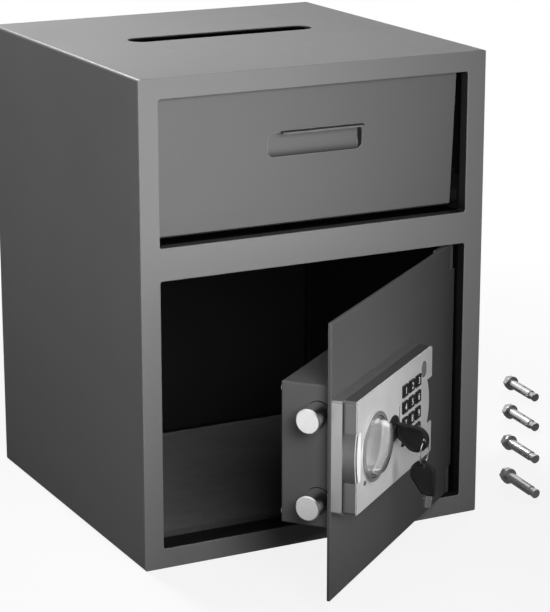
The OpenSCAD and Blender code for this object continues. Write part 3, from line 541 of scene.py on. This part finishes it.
def metalMaterial(name, base, deep, stretch, low, high, bump=0.2, distance=0.00003, metallic=1.0,
                  outwardFaceShade=None):
    # the face tone: a darker colour painted on what faces out of the door, as painted shade
    material, tree, shader = newMaterial(name, {"Metallic": metallic})
    finish = placeGroup(tree, brushedLines, {
        "Base": opaque(base), "Deep": opaque(deep), "Stretch": stretch, "Low": low, "High": high,
    })
    colour = finish["Color"]
    if outwardFaceShade is not None:
        # the outward face painted darker: painted shade
        turned = placeGroup(tree, frontMask, {"Facing": doorNormal})["Mask"]
        colour = addMix(tree, turned, colour, opaque(outwardFaceShade))
    addFinish(tree, shader, colour, finish, bump, distance)
    return material


def silverMaterial(name, base, deep, wallShade, rim, metallic, wallMetallic):
    # the front is silver, with a strip and the edges painted bright as a painted highlight; the walls are
    # painted a darker metallic grey as painted shade
    material, tree, shader = newMaterial(name, {"Specular IOR Level": 0.4})
    finish = placeGroup(tree, brushedLines, {
        "Base": opaque(base), "Deep": opaque(deep), "Stretch": (1500.0,) * 3, "Low": 0.34, "High": 0.44,
    })
    turned = placeGroup(tree, frontMask, {"Facing": doorNormal})["Mask"]
    # edges painted bright: painted highlight
    worn = placeGroup(tree, edgeMask, {"Width": 0.0009})["Mask"]
    # a strip at the face's free edge painted bright: painted highlight
    highlightStrip = placeGroup(tree, highlightBandMask, {
        "Origin": tuple(lockFrame.translation), "Along": tuple(lockFrame.col[0][:3]),
    })["Mask"]
    silverWithHighlight = addMix(tree, highlightStrip, finish["Color"], opaque(rim))
    # walls painted darker: painted shade
    colour = addMix(tree, worn, addMix(tree, turned, opaque(wallShade), silverWithHighlight), opaque(rim))
    tree.links.new(addRamp(tree, turned, 0.0, 1.0, wallMetallic, metallic), shader.inputs["Metallic"])
    addFinish(tree, shader, colour, finish, strength=0.15, distance=0.00004)
    return material


def plasticMaterial(name, base, dust, low, high, grainScale=2200.0, bump=0.12, specular=0.5):
    material, tree, shader = newMaterial(name, {"Specular IOR Level": specular})
    skin = placeGroup(tree, mouldedSkin, {
        "Base": opaque(base), "Dust": opaque(dust), "Grain Scale": grainScale, "Low": low, "High": high,
    })
    addFinish(tree, shader, skin["Color"], skin, bump, distance=0.00005)
    return material


def feltMaterial(name, base, fibre):
    material, tree, shader = newMaterial(
        name, {"Roughness": 0.92, "Specular IOR Level": 0.15, "Sheen Weight": 0.25, "Sheen Roughness": 0.5}
    )
    pile = placeGroup(tree, feltPile, {"Base": opaque(base), "Fibre": opaque(fibre)})
    tree.links.new(pile["Color"], shader.inputs["Base Color"])
    addBump(tree, shader, pile["Height"], strength=0.8, distance=0.0008)
    return material


# low and high: the roughness of the smoothest and of the roughest places
powders = {
    # the inner tone: the inside of the cabinet and of the frame's returns painted near black, as painted shade
    "powderShell": {"base": 0.200, "deep": 0.178, "edgeTone": 0.26, "inner": 0.014},
    # edgeTone lightens the edges: a thinner coat at the folds and a painted highlight
    "powderFrame": {"base": 0.200, "deep": 0.178, "edgeTone": 0.30, "inner": 0.014},
    # the flap: darker than the frame's same powder, and its pull's walls darker still, both painted shade
    "powderFlapShaded": {"base": 0.146, "deep": 0.130, "edgeTone": 0.30, "inner": 0.020, "edgeWidth": 0.0009,
                   "facing": (0.0, -1.0, 0.0)},
    "powderDoor": {"base": 0.080, "deep": 0.070, "edgeTone": 0.14, "specular": 0.2},
    "powderBox": {"base": 0.105, "deep": 0.092, "edgeTone": 0.16},
    # parts inside the cabinet painted near black: painted shade
    "powderShadedInside": {"base": 0.015, "deep": 0.011, "edgeTone": 0.028},
}
metals = {
    "zincPlate": {"base": grey(0.62), "deep": grey(0.45), "stretch": (300.0,) * 3, "low": 0.28, "high": 0.42},
    "blackSteel": {"base": grey(0.05), "deep": grey(0.03), "stretch": (300.0,) * 3, "low": 0.35, "high": 0.50,
                   "metallic": 0.6},
    "boltSteel": {"base": grey(0.98), "deep": grey(0.92), "stretch": (260.0,) * 3, "low": 0.20, "high": 0.28,
                  "bump": 0.06},
    "chromeBright": {"base": grey(0.90), "deep": grey(0.84), "stretch": (90.0,) * 3, "low": 0.14, "high": 0.22,
                     "bump": 0.05},
    "chromeSatin": {"base": grey(0.88), "deep": grey(0.80), "stretch": (90.0,) * 3, "low": 0.14, "high": 0.22,
                    "bump": 0.04, "metallic": 0.90},
    # the grip's outward face painted darker than its sides: painted shade
    "gripSatin": {"base": grey(0.95), "deep": grey(0.88), "stretch": (90.0,) * 3, "low": 0.14, "high": 0.22,
                  "bump": 0.04, "metallic": 0.90, "outwardFaceShade": grey(0.40)},
    "silverBase": {"base": grey(0.64, cool), "deep": grey(0.56, cool), "stretch": (1500.0,) * 3, "low": 0.28,
                   "high": 0.38, "bump": 0.12, "distance": 0.00004, "metallic": 0.95},
    "anchorZinc": {"base": grey(0.88), "deep": grey(0.66), "stretch": (80.0, 900.0, 900.0), "low": 0.20,
                   "high": 0.34},
    "brassTurned": {"base": (0.62, 0.46, 0.20), "deep": (0.45, 0.32, 0.13), "stretch": (700.0, 700.0, 60.0),
                    "low": 0.22, "high": 0.34},
}
silvers = {
    # the wall tone is painted shade on the walls; rim is a painted highlight on the strip and the edges
    "silverFace": {"base": grey(0.54, cool), "deep": grey(0.46, cool), "wallShade": grey(0.27, cool),
                   "rim": grey(0.92, cool), "metallic": 0.20, "wallMetallic": 0.90},
}
plastics = {
    "plasticBlack": {"base": grey(0.007), "dust": grey(0.013), "low": 0.30, "high": 0.45, "specular": 0.35},
    "buttonBlack": {"base": grey(0.006), "dust": grey(0.010), "low": 0.10, "high": 0.20, "grainScale": 1800.0,
                    "bump": 0.05},
    "figureWhite": {"base": grey(0.75), "dust": grey(0.60), "low": 0.35, "high": 0.50},
    "rubberBlack": {"base": grey(0.018), "dust": grey(0.035), "low": 0.60, "high": 0.80, "grainScale": 900.0,
                    "bump": 0.3, "specular": 0.3},
    "lensGrey": {"base": grey(0.15), "dust": grey(0.12), "low": 0.06, "high": 0.12, "grainScale": 500.0,
                 "bump": 0.02},
    "boardGreen": {"base": (0.01, 0.09, 0.03), "dust": (0.02, 0.14, 0.06), "low": 0.25, "high": 0.40,
                   "grainScale": 500.0},
    "cellSleeve": {"base": grey(0.18), "dust": grey(0.12), "low": 0.25, "high": 0.38, "grainScale": 400.0},
}
felts = {"matFelt": {"base": grey(0.062, cool), "fibre": grey(0.120, cool)}}
finishes = {}
for make, family in ((powderMaterial, powders), (metalMaterial, metals), (silverMaterial, silvers),
                     (plasticMaterial, plastics), (feltMaterial, felts)):
    for finishName, settings in family.items():
        finishes[finishName] = make(finishName, **settings)
print("materials built")

# the buttons are all that isn't listed
finishNodes = {
    "powderShell": ["cabinet_shell", "back_panel"],
    "powderFrame": ["front_frame"],
    "powderFlapShaded": ["hopper_flap"],
    "powderDoor": ["door_panel", "door_knuckles", "hinge_lugs"],
    "powderBox": ["lock_box"],
    # parts inside the cabinet, painted near black as painted shade
    "powderShadedInside": ["divider_shelf", "slot_baffle", "strike_channel", "hopper_brackets", "hopper_cheeks",
                    "hopper_tray"],
    "blackSteel": ["hinge_pins", "hinge_washers", "hopper_pivots"],
    "zincPlate": ["lock_screws", "bolt_guide", "bolt_bar", "cam_spindle", "plunger", "solenoid"],
    "boltSteel": ["lock_bolts"],
    "silverBase": ["lock_base"],
    "silverFace": ["lock_face"],
    "chromeSatin": ["knob_bezel", "knob"],
    "chromeBright": ["key_plug", "emergency_barrel", "spare_barrel", "key_ring"],
    "anchorZinc": ["anchor_studs", "anchor_sleeves", "anchor_nuts"],
    "brassTurned": ["spindle_bush"],
    "plasticBlack": ["hopper_bushes", "key_cylinder", "battery_holder", "battery_cover", "emergency_bow",
                     "spare_bow"],
    "rubberBlack": ["hopper_bumpers", "lock_cable"],
    "lensGrey": ["indicator_window"],
    "boardGreen": ["circuit_board"],
    "cellSleeve": ["batteries"],
    "matFelt": ["floor_mat"],
}
nodeFinish = {nodeName: finishName for finishName, names in finishNodes.items() for nodeName in names}
for nodeName, cadObject in cadNodes.items():
    cadObject.data.materials.clear()
    cadObject.data.materials.append(finishes[nodeFinish.get(nodeName, "buttonBlack")])
print("frame dressed")

# ripples: scale across, scale back, place in the noise, share
mat = {"width": 340 * mm, "depth": 270 * mm, "thick": 5 * mm, "frontY": -109 * mm, "baseZ": 2 * mm,
       "cellSize": 3.0 * mm, "ripple": 0.9 * mm, "rippleMean": 0.6, "rippleSwing": 0.5,
       "ripples": [(14, 22, 0.3, 1.0), (45, 60, 2.0, 0.5)], "edgeRound": 1.6 * mm, "edgeDrop": 1.3 * mm,
       "underside": 0.3 * mm}


def buildMat():
    across = round(mat["width"] / mat["cellSize"])
    back = round(mat["depth"] / mat["cellSize"])
    verts, faces = [], []
    for j in range(back + 1):
        for i in range(across + 1):
            x = -mat["width"] / 2 + mat["width"] * i / across
            y = mat["frontY"] + mat["depth"] * j / back
            inside = min(x + mat["width"] / 2, mat["width"] / 2 - x, y - mat["frontY"],
                         mat["frontY"] + mat["depth"] - y)
            fall = max(0.0, 1 - inside / mat["edgeRound"])
            wave = sum(share * noise.noise(Vector((x * wide, y * long, at)))
                       for wide, long, at, share in mat["ripples"])
            top = (mat["baseZ"] + mat["thick"] - mat["ripple"] * (mat["rippleMean"] - mat["rippleSwing"] * wave)
                   - fall * fall * mat["edgeDrop"])
            verts.append((x, y, top))
    row = across + 1
    for j in range(back):
        for i in range(across):
            a = j * row + i
            faces.append([a, a + 1, a + 1 + row, a + row])
    rim = (list(range(row)) + [k * row + across for k in range(1, back + 1)]
           + [back * row + i for i in range(across - 1, -1, -1)] + [k * row for k in range(back - 1, 0, -1)])
    start = len(verts)
    for k in rim:
        verts.append((verts[k][0], verts[k][1], mat["baseZ"] + mat["underside"]))
    for k in range(len(rim)):
        after = (k + 1) % len(rim)
        faces.append([rim[after], rim[k], start + k, start + after])
    faces.append([start + k for k in range(len(rim))][::-1])
    return meshFrom("floorMat", verts, faces, degrees=60)


floorMat = addPiece("floorMat", buildMat(), "cabinet", finishes["matFelt"], replaced=["floor_mat"])
print("mat laid")

knob = {"s": 44, "z": -0.5, "dishRadius": 26.5, "rimWidth": 2.4, "rimHeight": 2.0, "dishDepth": 2.8,
        "dishSteps": 14, "rim": [(24.6, 2.25), (25.4, 2.3), (26.1, 2.1), (26.5, 1.6), (26.5, -2), (0, -2)]}
# endRound: share of the half length that narrows to endWidth and endHeight, shares of the whole; draft: how
# much narrower the top is; sideCurve and topCurve: how square the cross-section is; sunk: below the dish
grip = {"length": 47, "width": 12, "height": 16, "tilt": 28, "crownRadius": 62, "rings": 40, "sides": 28,
        "endRound": 0.28, "endWidth": 0.30, "endHeight": 0.55, "waist": 0.10, "draft": 0.16, "sideCurve": 0.42,
        "topCurve": 0.40, "sunk": 1}


def buildKnobDish():
    bowl = knob["dishRadius"] - knob["rimWidth"]
    profile = []
    for k in range(knob["dishSteps"] + 1):
        share = k / knob["dishSteps"]
        profile.append((bowl * share, knob["rimHeight"] - knob["dishDepth"] * (1 - share ** 2)))
    return turnedMesh("knobDish", profile + knob["rim"], around=96)


def buildKnobGrip():
    verts = []
    for k in range(grip["rings"] + 1):
        t = -math.cos(math.pi * k / grip["rings"])
        y = t * grip["length"] / 2
        crown = grip["height"] - grip["crownRadius"] + math.sqrt(grip["crownRadius"] ** 2 - y * y)
        endShare = max(0.0, (abs(t) - (1 - grip["endRound"])) / grip["endRound"])
        fullness = math.sqrt(max(0.0, 1 - endShare ** 2))
        halfWide = grip["width"] / 2 * (grip["endWidth"] + (1 - grip["endWidth"]) * fullness)
        halfWide *= 1 - grip["waist"] * (1 - t * t)
        high = crown * (grip["endHeight"] + (1 - grip["endHeight"]) * fullness)
        for j in range(grip["sides"]):
            a = math.pi * j / (grip["sides"] - 1)
            c, s = math.cos(a), math.sin(a)
            wide = halfWide * (1 - grip["draft"] * s) * math.copysign(abs(c) ** grip["sideCurve"], c)
            up = -grip["sunk"] + (high + grip["sunk"]) * abs(s) ** grip["topCurve"]
            verts.append((wide * mm, y * mm, up * mm))
    return meshFrom("knobGrip", verts, loftFaces(grip["sides"], grip["rings"] + 1), degrees=50)


knobPlace = lockPlace @ move(knob["s"], knob["z"], door["panelFace"])
addPiece("knobDish", buildKnobDish(), "turn_knob", finishes["chromeSatin"], knobPlace, ["knob"])
addPiece("knobGrip", buildKnobGrip(), "turn_knob", finishes["gripSatin"],
         knobPlace @ turn(-grip["tilt"], "Z"))
print("knob turned")

pad = {"s": 133, "z": 5.5, "stepS": 16.4, "stepZ": 15, "top": 23.8, "columns": 3, "middleRow": 1.5,
       "figureSize": 8.6, "figureThick": 0.05}
buttonFigures = [("button_%d" % digit, str(digit)) for digit in range(1, 10)]
buttonFigures += [("button_star", "*"), ("button_0", "0"), ("button_hash", "#")]


def buildFigure(name, figure):
    text = bpy.data.curves.new(name, "FONT")
    text.body = figure
    text.size = pad["figureSize"] * mm
    text.align_x, text.align_y = "CENTER", "CENTER"
    text.extrude = pad["figureThick"] * mm
    holder = placeObject("textHolder", text)
    made = meshOf(holder)
    bpy.data.objects.remove(holder)
    return made


for k, (nodeName, figure) in enumerate(buttonFigures):
    figureName = "figure_" + nodeName
    column, row = k % pad["columns"] - 1, pad["middleRow"] - k // pad["columns"]
    place = lockPlace @ move(pad["s"] + column * pad["stepS"], pad["z"] + row * pad["stepZ"], pad["top"])
    addPiece(figureName, buildFigure(figureName, figure), "push_" + nodeName, finishes["figureWhite"],
             place)
print("keypad figures placed")

# shoulders: from the neck; bowEdge: (inset, depth below the bow's face), a sunk field in a rounded border;
# barrelGroove: (depth, height); spareEyeZ: where the spare's eye hangs on the ring, from the lock's centre
key = {"s": 89.5, "z": 1.5, "gap": 3, "thick": 6, "neck": 18.5, "drop": 7, "tipHalf": 6,
       "shoulders": [(1, 4.2), (-8.7, -13.9)], "bowRadius": 11.5, "bowSteps": 48, "outlinePoints": 120,
       "bowEdge": [(3.0, 0.7), (2.5, 0), (1.1, 0), (0.4, 0.35), (0, 1.0)], "eyeIn": 7.5, "eyeRadius": 2.2,
       "barrelRadius": 3.75, "barrelTip": -11, "barrelGroove": [(0, -2.0), (0.5, -2.3), (0.5, -3.1), (0, -3.4)],
       "tipBevel": 0.25, "tipBevelHigh": 0.3, "barrelWall": 0.9, "boreEnd": -3.6, "spareTilt": 6,
       "spareEyeZ": -28.024}


def keyOutline():
    points = [(0, -key["tipHalf"]), (0, key["tipHalf"])]
    points += [(key["neck"] + x, y) for x, y in key["shoulders"]]
    for k in range(key["bowSteps"]):
        a = 2 * math.pi * k / key["bowSteps"]
        x, y = key["bowRadius"] * math.cos(a), key["bowRadius"] * math.sin(a)
        points.append((key["neck"] + x, y - key["drop"]))
    return evenOutline(hullOutline(points), key["outlinePoints"])


def buildBow(name):
    half, reach = key["thick"] / 2, key["thick"]
    levels = [(inset, deep - half) for inset, deep in key["bowEdge"]]
    levels += [(inset, half - deep) for inset, deep in reversed(key["bowEdge"])]
    r = key["eyeRadius"]
    eye = turnedMesh("eyeCutter", [(0, -reach), (r, -reach), (r, reach), (0, reach)], around=32)
    eye.transform(move(key["neck"] + key["eyeIn"], -key["drop"], 0))
    return cutWith(plateMesh(name, keyOutline(), levels), eye)


def buildBarrel(name):
    r, tip, bore = key["barrelRadius"], key["barrelTip"], key["barrelRadius"] - key["barrelWall"]
    profile = [(0, 0), (r, 0)] + [(r - deep, height) for deep, height in key["barrelGroove"]]
    profile += [(r, tip + key["tipBevelHigh"]), (r - key["tipBevel"], tip), (bore, tip), (bore, key["boreEnd"]),
                (0, key["boreEnd"])]
    return turnedMesh(name, profile, around=40)


# in a key's own frame x runs from its tip, y upwards and z across its thickness
tipOut = door["panelFace"] + key["gap"]
eyeOut = tipOut + key["neck"] + key["eyeIn"]
lockedKey = lockFrame @ move(key["s"], -tipOut, key["z"]) @ turn(-90, "Z") @ turn(90, "X")
hungKey = (
    lockFrame @ move(key["s"], -eyeOut, key["spareEyeZ"]) @ turn(key["spareTilt"], "X")
    @ turn(90, "Z") @ turn(-90, "Y") @ move(-key["neck"] - key["eyeIn"], 0, key["drop"]) @ turn(90, "X")
)
for prefix, body, place in (("emergency", "emergency_key", lockedKey), ("spare", "spare_key", hungKey)):
    addPiece(prefix + "Bow", buildBow(prefix + "Bow"), body, finishes["plasticBlack"], place,
             [prefix + "_bow"])
    addPiece(prefix + "Barrel", buildBarrel(prefix + "Barrel"), body, finishes["chromeBright"],
             place @ turn(90, "Y"), [prefix + "_barrel"])
print("keys made")

# lengths run from the stud's threaded end; (depth, height) of its bevels
anchor = {"count": 4, "firstX": 245, "frontY": -115, "stepX": 57, "stepY": 87, "length": 60, "studRadius": 3.8,
          "sleeveRadius": 5, "nutRadius": 8, "head": 12, "cone": 9, "pitch": 1.25, "threadDepth": 0.45,
          "threadStart": 1.0, "threadPastHead": 6, "endBevel": (0.7, 0.6), "coneBevel": [(0.2, 0.6), (0.7, 0)]}
anchorSlope = math.asin((anchor["nutRadius"] - anchor["sleeveRadius"]) / (anchor["length"] - anchor["head"]))


def buildStud(name):
    r, deep = anchor["studRadius"], anchor["threadDepth"]
    profile = [(0, 0), (r - anchor["endBevel"][0], 0), (r, anchor["endBevel"][1])]
    height = anchor["threadStart"]
    while height < anchor["head"] + anchor["threadPastHead"]:
        profile += [(r, height), (r - deep, height + anchor["pitch"] / 2)]
        height += anchor["pitch"]
    profile += [(r, height), (r, anchor["length"] - anchor["cone"])]
    profile += [(anchor["sleeveRadius"] - inset, anchor["length"] - below)
                for inset, below in anchor["coneBevel"]]
    return turnedMesh(name, profile + [(0, anchor["length"])], around=40)


studs = []
# the anchors lie on their washers and on the far ends of their sleeves
lift = anchor["nutRadius"] * math.cos(anchorSlope) + anchor["head"] * math.sin(anchorSlope)
for i in range(anchor["count"]):
    stud = buildStud("stud%d" % i)
    stud.transform(move(anchor["firstX"] + i * anchor["stepX"], anchor["frontY"] + i * anchor["stepY"], lift)
                   @ turn(90 + math.degrees(anchorSlope), "X"))
    studs.append(stud)
anchorStuds = joinMeshes("anchorStuds", studs)
anchorStuds.set_sharp_from_angle(angle=math.radians(30))
addPiece("anchorStuds", anchorStuds, "cabinet", finishes["anchorZinc"], replaced=["anchor_studs"])
print("anchors threaded")

# lead: (out of the door, up) points at leadS; across: (s, up) points at cellY, up from cellZ
cable = {
    "radius": 1.5, "leadS": 150, "cellY": 40.5, "cellZ": 0.5,
    "lead": [(12, -20), (8, -20), (5.5, -23), (4.5, -28), (3, -35), (0, -38), (-8, -38), (-15, -37), (-21, -32),
             (-24, -28.5), (-31.5, -28)],
    "across": [(71.25, 0), (75.2, 0), (81.2, -3), (92, -5), (116, -3), (124, 0), (128, 0)],
}


def smoothLine(points, steps=5):
    # a curve through the points, in so many steps between each two
    line = []
    for i in range(len(points) - 1):
        a, b, c, d = (points[min(max(i + k, 0), len(points) - 1)] for k in (-1, 0, 1, 2))
        for k in range(steps):
            f = k / steps
            line.append((2 * b + (c - a) * f + (2 * a - 5 * b + 4 * c - d) * f * f
                         + (3 * b - a - 3 * c + d) * f ** 3) / 2)
    return line + [points[-1]]


def tubeMesh(name, points, radius, across, sides=14):
    # across: a direction square to the whole line
    line = smoothLine([Vector(p) for p in points])
    verts = []
    for i, point in enumerate(line):
        along = (line[min(i + 1, len(line) - 1)] - line[max(i - 1, 0)]).normalized()
        up = along.cross(across)
        for k in range(sides):
            a = 2 * math.pi * k / sides
            verts.append((point + across * radius * math.cos(a) + up * radius * math.sin(a)) * mm)
    return meshFrom(name, verts, loftFaces(sides, len(line)), degrees=50)


leadIn = tubeMesh("leadIn", [(cable["leadS"], -out, z) for out, z in cable["lead"]], cable["radius"],
                  Vector((1, 0, 0)))
leadAcross = tubeMesh("leadAcross", [(s, cable["cellY"], cable["cellZ"] + z) for s, z in cable["across"]],
                      cable["radius"], Vector((0, 1, 0)))
addPiece("lockLead", joinMeshes("lockLead", [leadIn, leadAcross]), "door", finishes["rubberBlack"],
         lockFrame, ["lock_cable"])
print("lead laid")

# frameHeight: the photo's height in pixels, in which the focal length is given too
view = {"place": (-0.9715, -1.9831, 0.7969), "azimuth": -27.17, "elevation": 15.50, "focalPixels": 2337,
        "frameHeight": 612, "sensor": 36, "clip": (0.05, 60)}
lamps = [
    {"name": "topSoftbox", "at": (-0.26, 1.00, 1.35), "aim": (-0.08, -0.06, 0.45), "size": 0.30, "power": 3.0,
     "spread": 60, "mirrored": True},
    {"name": "frontSoftbox", "at": (-0.24, -0.95, 0.56), "aim": (-0.13, -0.175, 0.43), "size": 0.35,
     "power": 2.1, "spread": 80, "mirrored": False},
    {"name": "lockSoftbox", "at": (0.14, -0.66, 0.20), "aim": (-0.04, -0.33, 0.15), "size": 0.24, "power": 0.20,
     "spread": 60, "mirrored": False},
    {"name": "sideSoftbox", "at": (1.20, 1.00, 0.46), "aim": (0.12, 0.08, 0.22), "size": 0.60, "power": 2.4,
     "spread": 60, "mirrored": False},
]
# behind, leftSide, above: a direction's (from, to) and how bright the room that metal mirrors is at each
room = {"behind": (0.2, 0.8, 0.0, 0.40), "leftSide": (-0.2, -0.9, 0.0, 0.20), "above": (0.55, 0.85, 0.0, 0.70),
        "least": 0.15, "softLight": 0.10}
# mirroredX, mirroredY: the same for the floor, by place in metres; glow: how much of its white shines by
# itself, by distance from the middle; matte, dim: its grey as seen and as it lights the object
floor = {"halfSize": 6, "mirroredX": (-0.20, -0.65, 0.12, 0.95), "mirroredY": (-0.30, 0.30, 1.0, 0.48),
         "matte": 0.80, "dim": 0.30, "glow": (0.30, 1.00, 0.86, 1.0)}
white = (1, 1, 1, 1)


def aimAt(item, place, direction):
    item.location = place
    item.rotation_mode = "QUATERNION"
    item.rotation_quaternion = direction.to_track_quat("-Z", "Y")


def addCamera():
    data = bpy.data.cameras.new("photoCamera")
    data.sensor_width = view["sensor"]
    data.lens = view["focalPixels"] / view["frameHeight"] * data.sensor_width
    data.clip_start, data.clip_end = view["clip"]
    camera = placeObject("photoCamera", data)
    a, e = math.radians(view["azimuth"]), math.radians(view["elevation"])
    backwards = Vector((math.sin(a) * math.cos(e), -math.cos(a) * math.cos(e), math.sin(e)))
    aimAt(camera, view["place"], -backwards)
    bpy.context.scene.camera = camera


def addLamp(lamp):
    data = bpy.data.lights.new(lamp["name"], "AREA")
    data.shape, data.size, data.energy = "SQUARE", lamp["size"], lamp["power"]
    data.spread = math.radians(lamp["spread"])
    item = placeObject(lamp["name"], data)
    aimAt(item, lamp["at"], Vector(lamp["aim"]) - Vector(lamp["at"]))
    item.visible_camera = False
    item.visible_glossy = lamp["mirrored"]


def rayKinds(tree):
    # 1 where the camera sees it straight or through glass, and 1 where it is mirrored
    path = addNode(tree, "LightPath")
    seen = addMath(tree, "ADD", path.outputs["Is Camera Ray"], path.outputs["Is Transmission Ray"])
    return addMath(tree, "MINIMUM", seen, 1.0), path.outputs["Is Glossy Ray"]


def mixShaders(tree, factor, first, second):
    mix = addNode(tree, "MixShader")
    tree.links.new(factor, mix.inputs[0])
    tree.links.new(first.outputs[0], mix.inputs[1])
    tree.links.new(second.outputs[0], mix.inputs[2])
    return mix


def addWorld():
    # plain white behind the object; the room that metal mirrors is bright above, behind and to the left
    world = bpy.data.worlds.new("studio")
    tree = clearTree(world)
    direction = addSplit(tree, addNode(tree, "TexCoord").outputs["Generated"])
    behind = addRamp(tree, direction["Y"], *room["behind"])
    leftSide = addRamp(tree, direction["X"], *room["leftSide"])
    above = addRamp(tree, direction["Z"], *room["above"])
    total = addMath(tree, "ADD", addMath(tree, "ADD", behind, leftSide),
                    addMath(tree, "ADD", above, room["least"]))
    mirrored = addNode(tree, "Background", {"Color": white})
    tree.links.new(total, mirrored.inputs["Strength"])
    soft = addNode(tree, "Background", {"Color": white, "Strength": room["softLight"]})
    plain = addNode(tree, "Background", {"Color": white, "Strength": 1.0})
    seen, glossy = rayKinds(tree)
    whole = mixShaders(tree, seen, mixShaders(tree, glossy, soft, mirrored), plain)
    tree.links.new(whole.outputs[0], addNode(tree, "OutputWorld").inputs["Surface"])
    bpy.context.scene.world = world


def addFloor():
    # white like what lies behind it, but for a faint shadow near the object
    half = floor["halfSize"]
    corners = [(-half, -half, 0), (half, -half, 0), (half, half, 0), (-half, half, 0)]
    mesh = bpy.data.meshes.new("studioFloor")
    mesh.from_pydata(corners, [], [(0, 1, 2, 3)])
    material = bpy.data.materials.new("studioFloor")
    tree = clearTree(material)
    spot = restPlace(tree)
    place = addSplit(tree, spot)
    leftwards = addRamp(tree, place["X"], *floor["mirroredX"])
    backwards = addRamp(tree, place["Y"], *floor["mirroredY"])
    mirrored = addNode(tree, "Emission", {"Color": white})
    tree.links.new(addMath(tree, "MULTIPLY", leftwards, backwards), mirrored.inputs["Strength"])
    matte = addNode(tree, "BsdfDiffuse", {"Color": opaque(grey(floor["matte"]))})
    dim = addNode(tree, "BsdfDiffuse", {"Color": opaque(grey(floor["dim"]))})
    shining = addNode(tree, "Emission", {"Color": white, "Strength": 1.0})
    seen, glossy = rayKinds(tree)
    glow = addRamp(tree, addVectorMath(tree, "LENGTH", spot), *floor["glow"])
    pale = mixShaders(tree, addMath(tree, "MULTIPLY", seen, glow), matte, shining)
    whole = mixShaders(tree, seen, mixShaders(tree, glossy, dim, mirrored), pale)
    tree.links.new(whole.outputs[0], addNode(tree, "OutputMaterial").inputs["Surface"])
    mesh.materials.append(material)
    placeObject("studioFloor", mesh)


addCamera()
for lamp in lamps:
    addLamp(lamp)
addWorld()
addFloor()
bpy.context.scene.view_settings.view_transform = "Standard"
print("studio set")
